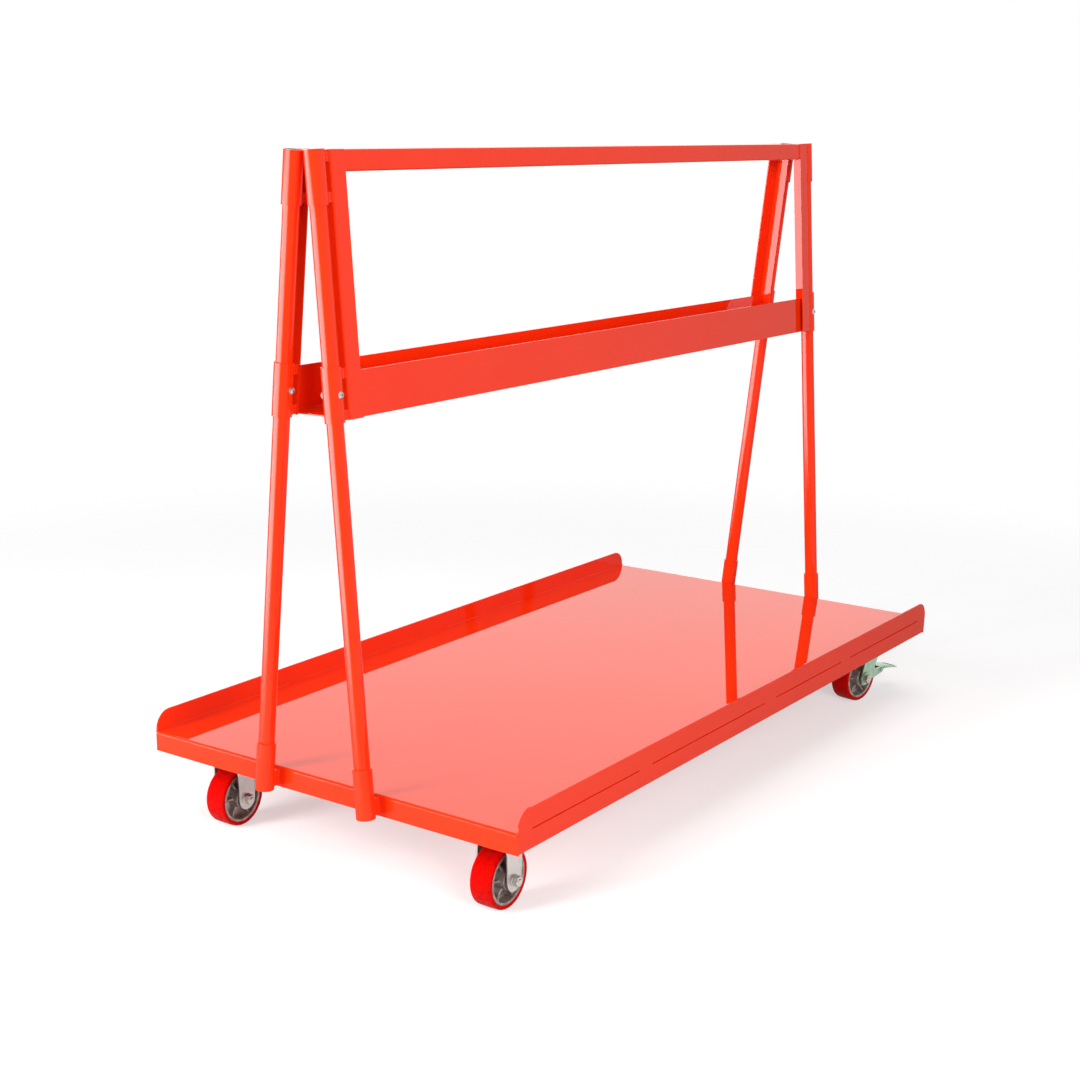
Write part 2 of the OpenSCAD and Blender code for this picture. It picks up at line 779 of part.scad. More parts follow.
// Quadratic curve through the pedal's root, crest and tip
pedal_root = pedal_pivot + [2, pedal_boss_radius - 2];
pedal_crest = pedal_pivot + [0.58 * (pedal_reach - pedal_pivot.x), -4];
pedal_tip = [pedal_reach, pedal_pivot.y - 21];
function pedal_point(t) =
    (1 - t) * (1 - t) * pedal_root + 2 * t * (1 - t) * pedal_crest + t * t * pedal_tip;
pedal_curve = [for (i = [0:pedal_curve_steps]) pedal_point(i / pedal_curve_steps)];

module pedal_side_view() {
    polygon(concat(pedal_curve, backwards([for (p = pedal_curve) p - [0, pedal_thickness]])));
}

// Plan of the pedal sheet: straight sides that draw in to a round tip
module pedal_plan() {
    half = pedal_width / 2;
    tip = pedal_reach - pedal_tip_radius;
    neck = tip - 2 * pedal_tip_radius;
    translate([0, -half]) square([neck, pedal_width]);
    polygon([[neck, -half], [tip, -pedal_tip_radius], [tip, pedal_tip_radius], [neck, half]]);
    translate([tip, 0]) circle(r = pedal_tip_radius);
}

// Cheek under the pedal sheet, from the pivot out to where the sheet draws in
module pedal_cheek_view() {
    cheek = [for (i = [0:pedal_cheek_steps]) pedal_curve[i] - [0, pedal_thickness / 2]];
    polygon(concat(cheek, [pedal_pivot + [50, -14], pedal_pivot + [10, -20], pedal_pivot + [-3, -4],
                           pedal_pivot + [-2, 0]]));
}

// Shoe that swings against the tyre
module shoe_view() {
    reach = wheel_radius + shoe_gap;
    nose = [reach * cos(shoe_angle) - trail, wheel_radius + reach * sin(shoe_angle)];
    polygon([pedal_pivot + [-6.5, 2], nose + [0.6, 5], nose, nose + [6, -2.5], pedal_pivot + [5, -4]]);
}

module brake_pedal(side, turn) {
    boss_half_width = fork_half - pedal_side_gap;
    half = pedal_width / 2;
    color(ZINC) at_swivel(side, turn) difference() {
        union() {
            intersection() {
                along_y(-half, half) pedal_side_view();
                linear_extrude(2 * pedal_pivot.y) pedal_plan();
            }
            for (s = [-1, 1])
                along_y(s > 0 ? half - pedal_rib : -half, s > 0 ? half : -half + pedal_rib) pedal_cheek_view();
            along_y(-boss_half_width, boss_half_width) translate(pedal_pivot) circle(r = pedal_boss_radius);
            along_y(-half + 2 * pedal_rib, half - 2 * pedal_rib) shoe_view();
        }
        translate([pedal_pivot.x, 0, pedal_pivot.y]) rotate([90, 0, 0])
            cylinder(r = pedal_pin_radius + pedal_pin_clearance, h = 4 * fork_outer, center = true);
    }
}
module brake_pedal_front() { brake_pedal(-1, front_swivel_turn); }
module brake_pedal_rear() { brake_pedal(1, rear_swivel_turn); }

// Wheels

// Points of a quarter circle, for a rounded corner in a turned section
function corner(x, y, radius, from, to, steps) =
    [for (i = [0:steps]) [x + radius * cos(from + (to - from) * i / steps),
                          y + radius * sin(from + (to - from) * i / steps)]];

module tyre() {
    half = tyre_width / 2;
    flat = half - tyre_shoulder;
    low = rim_width / 2;
    color(TYRE_RED) rotate_extrude($fn = 96)
        polygon(concat([[rim_radius, -low]],
                       corner(wheel_radius - tyre_shoulder, -flat, tyre_shoulder, -90, 0, 4),
                       corner(wheel_radius - tyre_shoulder, flat, tyre_shoulder, 0, 90, 4),
                       [[rim_radius, low]]));
}

// Cast hub: rim, web, ribs and boss with two bearing seats
module hub() {
    rim_inner = rim_radius - rim_thickness;
    rim_half = rim_width / 2;
    web_half = web_thickness / 2;
    seat = boss_half - bearing_width;
    color(IRON) difference() {
        union() {
            rotate_extrude($fn = 96)
                polygon([[boss_radius - 6, -boss_half], [boss_radius, -boss_half], [boss_radius + 2, -web_half],
                         [rim_inner - 1, -web_half], [rim_inner + 1, -rim_half], [rim_radius, -rim_half],
                         [rim_radius, rim_half], [rim_inner + 1, rim_half], [rim_inner - 1, web_half],
                         [boss_radius + 2, web_half], [boss_radius, boss_half], [boss_radius - 6, boss_half]]);
            for (i = [0:hub_ribs - 1]) rotate([0, 0, i * 360 / hub_ribs])
                translate([0, rib_thickness / 2, 0]) rotate([90, 0, 0]) linear_extrude(rib_thickness)
                    polygon([[boss_radius - 2, -seat], [rim_inner + 1, -rim_half + 6],
                             [rim_inner + 1, rim_half - 6], [boss_radius - 2, seat]]);
            translate([0, 0, -seat]) cylinder(r = boss_radius - 3, h = 2 * seat);
        }
        cylinder(r = bearing_radius - 3, h = 3 * boss_half, center = true);
        for (s = [-1, 1]) translate([0, 0, s > 0 ? seat : -boss_half - 1])
            cylinder(r = bearing_radius, h = bearing_width + 1);
    }
}

// Pair of ball bearings as closed rings with their shield grooves
module bearings() {
    seat = boss_half - bearing_width;
    groove = 1;
    color(ZINC) for (s = [-1, 1]) mirror([0, 0, s > 0 ? 0 : 1]) translate([0, 0, seat]) rotate_extrude()
        polygon([[bearing_bore, 0], [bearing_radius, 0], [bearing_radius, bearing_width],
                 [bearing_radius - 2.5, bearing_width], [bearing_radius - 2.5, bearing_width - groove],
                 [bearing_bore + 2.5, bearing_width - groove], [bearing_bore + 2.5, bearing_width],
                 [bearing_bore, bearing_width]]);
}

module on_fixed_wheel(side) { at_castor(-1, side) on_axle(0) children(); }
module on_swivel_wheel(side, turn) { at_swivel(side, turn) on_axle(-trail) children(); }

module tyre_fixed_front() { on_fixed_wheel(-1) tyre(); }
module tyre_fixed_rear() { on_fixed_wheel(1) tyre(); }
module tyre_swivel_front() { on_swivel_wheel(-1, front_swivel_turn) tyre(); }
module tyre_swivel_rear() { on_swivel_wheel(1, rear_swivel_turn) tyre(); }
module hub_fixed_front() { on_fixed_wheel(-1) hub(); }
module hub_fixed_rear() { on_fixed_wheel(1) hub(); }
module hub_swivel_front() { on_swivel_wheel(-1, front_swivel_turn) hub(); }
module hub_swivel_rear() { on_swivel_wheel(1, rear_swivel_turn) hub(); }
module bearings_fixed_front() { on_fixed_wheel(-1) bearings(); }
module bearings_fixed_rear() { on_fixed_wheel(1) bearings(); }
module bearings_swivel_front() { on_swivel_wheel(-1, front_swivel_turn) bearings(); }
module bearings_swivel_rear() { on_swivel_wheel(1, rear_swivel_turn) bearings(); }

deck_tray();
front_side_rail();
rear_side_rail();
castor_channel_left();
castor_channel_right();
deck_stiffeners();
leg_sockets();
socket_spacers();
leg_front_left();
leg_front_right();
leg_rear_left();
leg_rear_right();
leg_plugs();
front_top_rail();
front_kick_rail();
front_upright_left();
front_upright_right();
rear_top_rail();
rear_kick_rail();
rear_upright_left();
rear_upright_right();
trough_floor();
top_sleeves();
middle_sleeves();
sleeve_tabs();
sleeve_bolts();
sleeve_nuts();
castor_pads();
castor_bolts();
castor_nuts();
fixed_fork_front();
fixed_fork_rear();
fixed_axle_bolts();
fixed_axle_nuts();
fixed_axle_bushes();
swivel_plate_front();
swivel_plate_rear();
kingpins();
swivel_fork_front();
axle_bolt_swivel_front();
axle_bush_swivel_front();
pedal_pin_front();
swivel_fork_rear();
axle_bolt_swivel_rear();
axle_bush_swivel_rear();
pedal_pin_rear();
brake_pedal_front();
brake_pedal_rear();
tyre_fixed_front();
hub_fixed_front();
bearings_fixed_front();
tyre_fixed_rear();
hub_fixed_rear();
bearings_fixed_rear();
tyre_swivel_front();
hub_swivel_front();
bearings_swivel_front();
tyre_swivel_rear();
hub_swivel_rear();
bearings_swivel_rear();
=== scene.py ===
"""Looks of an A-frame panel trolley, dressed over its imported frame.

The frame's own sheets and tubes keep their shapes and get real finishes. Forks, pins, pedals, wheels,
bearings, bolts and nuts are made again here with their fillets, chamfers and threads, and weld beads are
laid along the joints. The scene is in metres in the frame's axes: X along the deck, the swivel castors
at +X, Z up.
"""

import json
import logging
import math
from collections.abc import Callable
from dataclasses import dataclass, field
from enum import Enum
from typing import Any

import bmesh
import bpy
from mathutils import Matrix, Vector


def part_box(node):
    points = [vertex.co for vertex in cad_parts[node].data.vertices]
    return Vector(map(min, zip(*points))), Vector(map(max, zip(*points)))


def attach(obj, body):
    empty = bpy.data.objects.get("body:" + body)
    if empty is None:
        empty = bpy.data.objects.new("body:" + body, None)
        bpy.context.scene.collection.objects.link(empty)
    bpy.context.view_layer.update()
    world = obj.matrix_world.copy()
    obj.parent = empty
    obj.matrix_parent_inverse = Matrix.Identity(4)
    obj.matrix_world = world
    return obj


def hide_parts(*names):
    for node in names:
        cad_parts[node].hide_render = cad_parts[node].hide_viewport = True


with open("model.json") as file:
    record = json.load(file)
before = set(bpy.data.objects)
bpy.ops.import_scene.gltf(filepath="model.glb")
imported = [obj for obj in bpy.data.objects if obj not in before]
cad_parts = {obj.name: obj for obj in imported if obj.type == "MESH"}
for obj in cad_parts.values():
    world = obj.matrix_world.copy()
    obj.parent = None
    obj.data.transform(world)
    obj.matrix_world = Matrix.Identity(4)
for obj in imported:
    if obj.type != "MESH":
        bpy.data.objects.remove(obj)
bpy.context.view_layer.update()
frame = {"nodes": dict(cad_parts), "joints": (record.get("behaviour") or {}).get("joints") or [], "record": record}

LOG = logging.getLogger("trolley")
# Side of the photograph in pixels, and a millimetre in the scene's metres
PHOTO = 1080
MM = 0.001
# Castor sizes in mm: wheel, axle behind the swivel, pedal pin forward of the swivel and up, half plate
WHEEL_RADIUS = 62.5
TRAIL = 36.0
PEDAL_PIN = (38.0, 72.0)
PLATE_HALF = (52.5, 42.5)
# Steps round hexagon parts
HEX_STEPS = 36
# Usual places of a section: as drawn, with its Z laid along the axle, and standing across X
HERE = Matrix.Identity(4)
FLAT = Matrix.Rotation(math.pi / 2, 4, "X")
ALONG_X = Matrix(((0, 0, 1, 0), (1, 0, 0, 0), (0, 1, 0, 0), (0, 0, 0, 1)))

Tree = bpy.types.NodeTree
Socket = bpy.types.NodeSocket
Piece = bpy.types.Object
Pair = tuple[float, float]
Triple = tuple[float, float, float]
Outline = list[Pair]
Spot = tuple[Vector, Vector]
Ring = list[bmesh.types.BMVert]


class Side(Enum):
    """The two long sides of the trolley, by the sign of Y."""

    FRONT = -1
    REAR = 1

    @property
    def word(self) -> str:
        """The word that names this side's nodes."""
        return self.name.lower()


class End(Enum):
    """The two ends of the trolley, by the sign of X."""

    LEFT = -1
    RIGHT = 1


# Turn of each swivel castor at rest, in degrees, as in the photograph
SWIVEL_TURN = {Side.FRONT: -10.0, Side.REAR: 0.0}


def joint_of(body: str) -> dict[str, Any]:
    """The frame's joint that carries a body."""
    return next(joint for joint in frame["joints"] if joint["child"] == body)


def in_scene(name: str, data: bpy.types.ID) -> Piece:
    """Makes an object and links it to the scene.

    Args:
        name: Name of the object.
        data: Its mesh, camera or lamp.

    Returns:
        The new object.
    """
    made = bpy.data.objects.new(name, data)
    bpy.context.scene.collection.objects.link(made)
    return made


def linear(code: str) -> tuple[float, float, float, float]:
    """Turns an sRGB hex colour such as "#d9341a" into linear red, green, blue and alpha."""
    parts = [int(code[i:i + 2], 16) / 255 for i in (1, 3, 5)]
    return tuple(c / 12.92 if c <= 0.04045 else ((c + 0.055) / 1.055) ** 2.4 for c in parts) + (1.0,)


def add(tree: Tree, kind: str, inputs: dict | None = None, **settings: Any) -> bpy.types.Node:
    """Adds a node with its settings, values and links.

    Args:
        tree: Shader or geometry tree that gets the node.
        kind: Blender's type name of the node.
        inputs: Input name or number to a value, or to the socket that feeds it.
        **settings: Properties of the node.

    Returns:
        The new node.
    """
    made = tree.nodes.new(kind)
    for name, value in settings.items():
        setattr(made, name, value)
    for key, value in (inputs or {}).items():
        if isinstance(value, Socket):
            tree.links.new(value, made.inputs[key])
        else:
            made.inputs[key].default_value = value
    return made


def calc(tree: Tree, operation: str, *values: Any, kind: str = "ShaderNodeMath") -> Socket:
    """Adds a math node on numbers or sockets and returns its value."""
    return add(tree, kind, dict(enumerate(values)), operation=operation).outputs["Value"]


def spread(tree: Tree, value: Socket, low: Any, high: Any, start: float = 0.3, end: float = 0.7,
           **settings: Any) -> Socket:
    """Maps a value's range, by default the usual range of a noise, onto a range of results.

    Args:
        tree: Tree that gets the node.
        value: The value.
        low: Result at start and before it.
        high: Result at end and past it.
        start: Value that gives low.
        end: Value that gives high.
        **settings: Properties of the node.

    Returns:
        The mapped value.
    """
    limits = {"From Min": start, "From Max": end, "To Min": low, "To Max": high}
    return add(tree, "ShaderNodeMapRange", {"Value": value, **limits}, **settings).outputs["Result"]


def coated(name: str, shade: Callable[[Tree], Socket]) -> bpy.types.Material:
    """Makes a material.

    Args:
        name: Name of the material.
        shade: Function that builds the surface in a tree and returns its shader socket.

    Returns:
        The new material.
    """
    made = bpy.data.materials.new(name)
    made.use_nodes = True
    made.node_tree.nodes.clear()
    add(made.node_tree, "ShaderNodeOutputMaterial", {"Surface": shade(made.node_tree)})
    return made


class Finish:
    """A finish that makes its own material once and hands it out."""

    made: dict[str, bpy.types.Material] = {}
    name = "finish"

    def material(self) -> bpy.types.Material:
        """The finish's material, made on first use.

        Returns:
            The material.
        """
        if self.name not in Finish.made:
            Finish.made[self.name] = coated(self.name, self.shade)
        return Finish.made[self.name]

    def shade(self, tree: Tree) -> Socket:
        """Builds the surface in a tree and returns its shader socket."""
        raise NotImplementedError

    @staticmethod
    def surface(tree: Tree, inputs: dict[str, Any]) -> Socket:
        """Adds the surface's shader and returns its socket."""
        return add(tree, "ShaderNodeBsdfPrincipled", inputs).outputs["BSDF"]

    @staticmethod
    def noise(tree: Tree, millimetres: float, detail: float = 2.0, stretch: Triple = (1.0, 1.0, 1.0)) -> Socket:
        """Noise in the piece's own coordinates.

        Args:
            tree: Tree that gets the nodes.
            millimetres: Real size of one lump of the pattern.
            detail: Octaves of finer lumps.
            stretch: How much longer the lumps are along X, Y and Z.

        Returns:
            The noise value, about 0.5 on average.
        """
        place = add(tree, "ShaderNodeTexCoord").outputs["Object"]
        shape = add(tree, "ShaderNodeMapping", {"Vector": place, "Scale": [1 / s for s in stretch]})
        return add(tree, "ShaderNodeTexNoise",
                   {"Vector": shape.outputs["Vector"], "Scale": 1 / (millimetres * MM), "Detail": detail,
                    "Roughness": 0.55}).outputs["Fac"]

    @staticmethod
    def bump(tree: Tree, pattern: Socket, depth_mm: float, strength: float) -> Socket:
        """Adds the bumps of a pattern and returns their normal."""
        inputs = {"Height": pattern, "Distance": depth_mm * MM, "Strength": strength}
        return add(tree, "ShaderNodeBump", inputs).outputs["Normal"]

    @staticmethod
    def blend(tree: Tree, share: Socket, first: str, second: str) -> Socket:
        """Mixes two hex colours, where a share of 0 gives the first and 1 the second."""
        inputs = {0: share, 6: linear(first), 7: linear(second)}
        return add(tree, "ShaderNodeMix", inputs, data_type="RGBA").outputs[2]


@dataclass(frozen=True)
class PowderCoat(Finish):
    """Gloss polyester powder coat, sprayed and baked on sheet steel.

    The eye gets a hard orange-red shine with mirror-like reflections that ripple slightly, the orange peel
    of the baked powder, and a cast that is a touch lighter where the coat lies thin.
    """

    name: str = "polyester powder coat, baked gloss"
    colour: str = "#ee300a"
    thin_colour: str = "#f2370d"
    thin_share: float = 0.35
    rough: float = 0.4
    peel_mm: float = 5.0
    peel_depth_mm: float = 0.006
    cloud_mm: float = 160.0

    def shade(self, tree: Tree) -> Socket:
        """Builds the coat.

        Args:
            tree: Tree that gets the nodes.

        Returns:
            The shader socket.
        """
        cloud = spread(tree, self.noise(tree, self.cloud_mm), 0.0, self.thin_share)
        peel = self.bump(tree, self.noise(tree, self.peel_mm, detail=1.0), self.peel_depth_mm, 1.0)
        return self.surface(tree, {
            "Base Color": self.blend(tree, cloud, self.colour, self.thin_colour), "Roughness": self.rough,
            "Specular IOR Level": 0.0, "Coat Weight": 1.0, "Coat Roughness": 0.0, "Coat IOR": 1.5,
            "Normal": peel, "Coat Normal": peel})


@dataclass(frozen=True)
class Clouded(Finish):
    """A skin with clouds of a second colour and, where it has a depth, a fine grain that stands up a little.

    Limits are the noise values where the clouds start and are full. Rough is the roughness at the low and
    the high values of the grain, or of the clouds.
    """

    name: str = "clouded skin"
    colour: str = "#808080"
    cloud_colour: str = "#808080"
    cloud_mm: float = 10.0
    cloud_detail: float = 2.0
    cloud_limits: Pair = (0.3, 0.7)
    cloud_share: float = 1.0
    grain_mm: float = 1.0
    grain_detail: float = 2.0
    grain_stretch: Triple = (1.0, 1.0, 1.0)
    grain_depth_mm: float = 0.0
    grain_strength: float = 0.6
    rough: Pair = (0.5, 0.5)
    rough_by_cloud: bool = False
    metal: float = 1.0

    def more(self) -> dict[str, Any]:
        """Further inputs of the surface."""
        return {}

    def shade(self, tree: Tree) -> Socket:
        """Builds the skin.

        Args:
            tree: Tree that gets the nodes.

        Returns:
            The shader socket.
        """
        cloud = self.noise(tree, self.cloud_mm, self.cloud_detail)
        grain = cloud
        if self.grain_depth_mm:
            grain = self.noise(tree, self.grain_mm, self.grain_detail, self.grain_stretch)
        share = spread(tree, cloud, 0.0, self.cloud_share, *self.cloud_limits)
        inputs = {"Base Color": self.blend(tree, share, self.colour, self.cloud_colour), "Metallic": self.metal,
                  "Roughness": spread(tree, cloud if self.rough_by_cloud else grain, *self.rough)}
        if self.grain_depth_mm:
            inputs["Normal"] = self.bump(tree, grain, self.grain_depth_mm, self.grain_strength)
        return self.surface(tree, inputs | self.more())


@dataclass(frozen=True)
class ZincPlate(Clouded):
    """Bright zinc electroplate with a clear passivate on pressed and turned steel.

    The eye gets a pale silver with faint yellow and green clouds of the passivate, over the fine drawn
    grain of rolled sheet.
    """

    name: str = "bright zinc electroplate, passivated"
    colour: str = "#cdc8c6"
    cloud_colour: str = "#c0c2bb"
    cloud_mm: float = 14.0
    cloud_detail: float = 3.0
    cloud_limits: Pair = (0.4, 0.65)
    grain_mm: float = 0.7
    grain_stretch: Triple = (8.0, 1.0, 1.0)
    grain_depth_mm: float = 0.01
    rough: Pair = (0.26, 0.42)


@dataclass(frozen=True)
class CastIron(Clouded):
    """Grey cast iron as it leaves the sand, with a thin clear oil.

    The eye gets a matt mid grey, rough with sand grains, that is a little brown in its hollows.
    """

    name: str = "grey cast iron, sand cast"
    colour: str = "#b3a8a2"
    cloud_colour: str = "#86756d"
    cloud_mm: float = 12.0
    cloud_limits: Pair = (0.35, 0.7)
    grain_mm: float = 1.1
    grain_detail: float = 4.0
    grain_depth_mm: float = 0.18
    grain_strength: float = 0.8
    rough: Pair = (0.42, 0.62)
    metal: float = 0.75


@dataclass(frozen=True)
class CastPolyurethane(Clouded):
    """Hard polyurethane, poured round the hub and turned on its tread.

    The eye gets a deep satin red with scuffs, the fine marks of turning and a softly lit skin.
    """

    name: str = "cast polyurethane, satin"
    colour: str = "#c20401"
    cloud_colour: str = "#930704"
    cloud_mm: float = 9.0
    cloud_detail: float = 4.0
    cloud_limits: Pair = (0.5, 0.75)
    cloud_share: float = 0.8
    grain_mm: float = 0.8
    grain_depth_mm: float = 0.02
    rough: Pair = (0.5, 0.66)
    rough_by_cloud: bool = True
    metal: float = 0.0

    def more(self) -> dict[str, Any]:
        """Dims the shine and lets a little light into the skin."""
        return {"Specular IOR Level": 0.08, "Subsurface Weight": 0.08,
                "Subsurface Radius": (0.004, 0.0008, 0.0004)}


@dataclass(frozen=True)
class GroundSteel(Clouded):
    """Through-hardened bearing steel, ground and lightly oiled.

    The eye gets a cool bright metal with concentric grinding too fine to make out, under a thin film.
    """

    name: str = "bearing steel, ground"
    colour: str = "#b4b6b9"
    cloud_colour: str = "#9a978f"
    cloud_mm: float = 6.0
    cloud_detail: float = 3.0
    rough: Pair = (0.16, 0.3)


@dataclass(frozen=True)
class MouldedPlastic(Clouded):
    """Black polyethylene, injection moulded against a spark-eroded mould.

    The eye gets a soft black with a fine even grain.
    """

    name: str = "polyethylene, moulded black"
    colour: str = "#1c1b1b"
    cloud_colour: str = "#2c2a2a"
    cloud_mm: float = 0.6
    cloud_share: float = 0.4
    grain_mm: float = 0.6
    grain_depth_mm: float = 0.02
    grain_strength: float = 0.7
    rough: Pair = (0.45, 0.45)
    metal: float = 0.0

    def more(self) -> dict[str, Any]:
        """Bends light as polyethylene does."""
        return {"IOR": 1.51}


PAINT = PowderCoat()
ZINC = ZincPlate()
GREEN_ZINC = ZincPlate("zinc electroplate, green passivate", "#a9c3ae", "#8fae90")
IRON = CastIron()
TYRE = CastPolyurethane()
STEEL = GroundSteel()
PLASTIC = MouldedPlastic()
SLOT_FINISH: dict[str, Finish] = {
    "red_paint": PAINT, "zinc_plate": ZINC, "cast_iron": IRON,
    "red_tyre": TYRE, "bearing_steel": STEEL, "black_plastic": PLASTIC,
}
GREEN_NODES = ("swivel_fork", "swivel_plate", "brake_pedal", "pedal_pin")


def round_z(places: Outline) -> list[Triple]:
    """Spreads points evenly round Z, each with its own radius and height."""
    turns = [math.tau * i / len(places) for i in range(len(places))]
    return [(radius * math.cos(a), radius * math.sin(a), height) for (radius, height), a in zip(places, turns)]


def hexagon_reaches(flats: float) -> list[float]:
    """Reach of a hexagon from its middle, at even turns, for its width across the flats."""
    turns = [math.tau * i / HEX_STEPS for i in range(HEX_STEPS)]
    return [flats / 2 / math.cos(a % (math.pi / 3) - math.pi / 6) for a in turns]


class Builder:
    """Collects the faces of one piece in millimetres, in a local frame, and makes its object."""

    def __init__(self) -> None:
        """Starts an empty piece."""
        self.mesh = bmesh.new()

    def row(self, points: list[Triple], where: Matrix = HERE) -> Ring:
        """Adds corners at points of a placed frame and returns them."""
        return [self.mesh.verts.new(where @ Vector(point)) for point in points]

    def skin(self, rings: list[Ring], ends: bool = True) -> list[bmesh.types.BMFace]:
        """Joins rings of corners, each to the next, by faces.

        Args:
            rings: Rings that have as many corners each.
            ends: Whether the first and the last ring are filled.

        Returns:
            The faces that fill the ends.
        """
        for first, second in zip(rings, rings[1:]):
            for i in range(len(first)):
                j = (i + 1) % len(first)
                self.mesh.faces.new([first[i], first[j], second[j], second[i]])
        return [self.mesh.faces.new(ring) for ring in (rings[0][::-1], rings[-1]) if ends]

    def turned(self, profile: Outline, steps: int, where: Matrix = HERE) -> None:
        """Adds a closed section turned about Z.

        Args:
            profile: Radius and height of the section's corners, in order round it. 0 lies on the axis.
            steps: Number of steps round the axis.
            where: Place of the turned piece in the local frame.
        """
        rings = [self.row(round_z([(radius, height)] * steps), where) if radius
                 else self.row([(0.0, 0.0, height)], where) * steps for radius, height in profile]
        for ring, after in zip(rings, rings[1:] + rings[:1]):
            for i in range(steps):
                j = (i + 1) % steps
                corners = list(dict.fromkeys([ring[i], ring[j], after[j], after[i]]))
                if len(corners) > 2:
                    self.mesh.faces.new(corners)

    def rod(self, radius: float, low: float, high: float, steps: int = 28) -> None:
        """Adds a plain cylinder along Z."""
        self.turned([(0.0, low), (radius, low), (radius, high), (0.0, high)], steps)

    def prism(self, outline: Outline, low: float, high: float, where: Matrix = HERE,
              draft: float = 0.0) -> list[bmesh.types.BMFace]:
        """Adds a flat outline drawn up along Z.

        Args:
            outline: Corners of the outline, counter-clockwise.
            low: Height of the lower face.
            high: Height of the upper face.
            where: Place of the prism in the local frame.
            draft: How far the upper face's corners are drawn in towards the outline's middle.

        Returns:
            The lower and the upper face.
        """
        middle = Vector([sum(values) / len(outline) for values in zip(*outline)])
        arms = [Vector(corner) - middle for corner in outline]
        rings = []
        for height, inset in ((low, 0.0), (high, draft)):
            corners = [middle + arm * (1 - inset / arm.length) for arm in arms]
            rings.append(self.row([(*corner, height) for corner in corners], where))
        return self.skin(rings)

    def plate(self, outline: Outline, low: float, high: float, where: Matrix = HERE, edge: float = 0.6) -> None:
        """Adds a prism with both rims rounded off.

        Args:
            outline: Corners of the outline, counter-clockwise.
            low: Height of the lower face.
            high: Height of the upper face.
            where: Place of the plate in the local frame.
            edge: Radius of the rims.
        """
        rims = [line for face in self.prism(outline, low, high, where) for line in face.edges]
        bmesh.ops.bevel(self.mesh, geom=rims, offset=edge, offset_type="OFFSET", segments=2, profile=0.5,
                        affect="EDGES")

    def hexagon(self, flats: float, low: float, high: float, both: bool = False, bore: float = 0.0) -> None:
        """Adds a hexagon along Z whose corners are turned off by a 30 degree chamfer.

        Args:
            flats: Width across the flats.
            low: Height of the seat.
            high: Height of the chamfered face.
            both: Whether the seat is chamfered too, as on a nut.
            bore: Radius of the hole, or 0 for a head.
        """
        circle = flats / 2 * 0.97
        reaches = hexagon_reaches(flats)
        drops = [(reach - circle) * math.tan(math.radians(30)) for reach in reaches]
        levels = [[(circle, low)] * HEX_STEPS] if both else []
        levels += [[(reach, low + drop if both else low) for reach, drop in zip(reaches, drops)],
                   [(reach, high - drop) for reach, drop in zip(reaches, drops)], [(circle, high)] * HEX_STEPS]
        if bore:
            levels += [[(bore, height)] * HEX_STEPS for height in (high, low)]
        rings = [self.row(round_z(level)) for level in levels]
        self.skin(rings + rings[:1] if bore else rings, ends=not bore)

    def button(self, radius: float, height: float, socket: float) -> None:
        """Adds a domed head on z = 0 with a hexagon socket in its top.

        Args:
            radius: Radius of the head.
            height: Height of the dome.
            socket: Width across the socket's flats.
        """
        ball = (radius ** 2 + height ** 2) / (2 * height)
        steps = [radius + (0.75 * socket - radius) * i / 5 for i in range(6)]
        dome = [(reach, height - ball + math.sqrt(ball ** 2 - reach ** 2)) for reach in steps]
        top = dome[-1][1]
        levels = [[place] * HEX_STEPS for place in dome]
        levels += [[(reach, z) for reach in hexagon_reaches(socket)] for z in (top, top - 0.55 * height)]
        self.skin([self.row(round_z(level)) for level in levels])

    def thread(self, radius: float, pitch: float, low: float, high: float, where: Matrix = HERE) -> None:
        """Adds a stud end with the ridges of its thread.

        Args:
            radius: Outer radius of the thread.
            pitch: Distance from ridge to ridge.
            low: Height where the thread starts.
            high: Height of the stud's end.
            where: Place of the stud in the local frame.
        """
        profile = [(0.0, low)]
        height = low
        while height + pitch <= high:
            profile += [(radius - 0.55 * pitch, height), (radius, height + 0.45 * pitch),
                        (radius, height + 0.6 * pitch)]
            height += pitch
        self.turned(profile + [(radius - 0.6 * pitch, high), (0.0, high)], 28, where)

    def piece(self, name: str, finish: Finish, where: Matrix = HERE, sharp: float = 32.0) -> Piece:
        """Makes the object, with its place in its mesh.

        Args:
            name: Name of the object.
            finish: Finish of the whole piece.
            where: Place of the local frame in the row frame, in millimetres.
            sharp: Edges that turn more than this many degrees stay sharp.

        Returns:
            The new object at the origin.
        """
        bmesh.ops.remove_doubles(self.mesh, verts=self.mesh.verts, dist=1e-4)
        bmesh.ops.transform(self.mesh, matrix=Matrix.Scale(MM, 4) @ where, verts=self.mesh.verts)
        bmesh.ops.recalc_face_normals(self.mesh, faces=self.mesh.faces)
        data = bpy.data.meshes.new(name)
        self.mesh.to_mesh(data)
        self.mesh.free()
        data.materials.append(finish.material())
        smooth(data, sharp)
        return in_scene(name, data)


def smooth(data: bpy.types.Mesh, sharp: float) -> None:
    """Shades a mesh smooth, except at edges that turn more than so many degrees."""
    data.shade_smooth()
    data.set_sharp_from_angle(angle=math.radians(sharp))


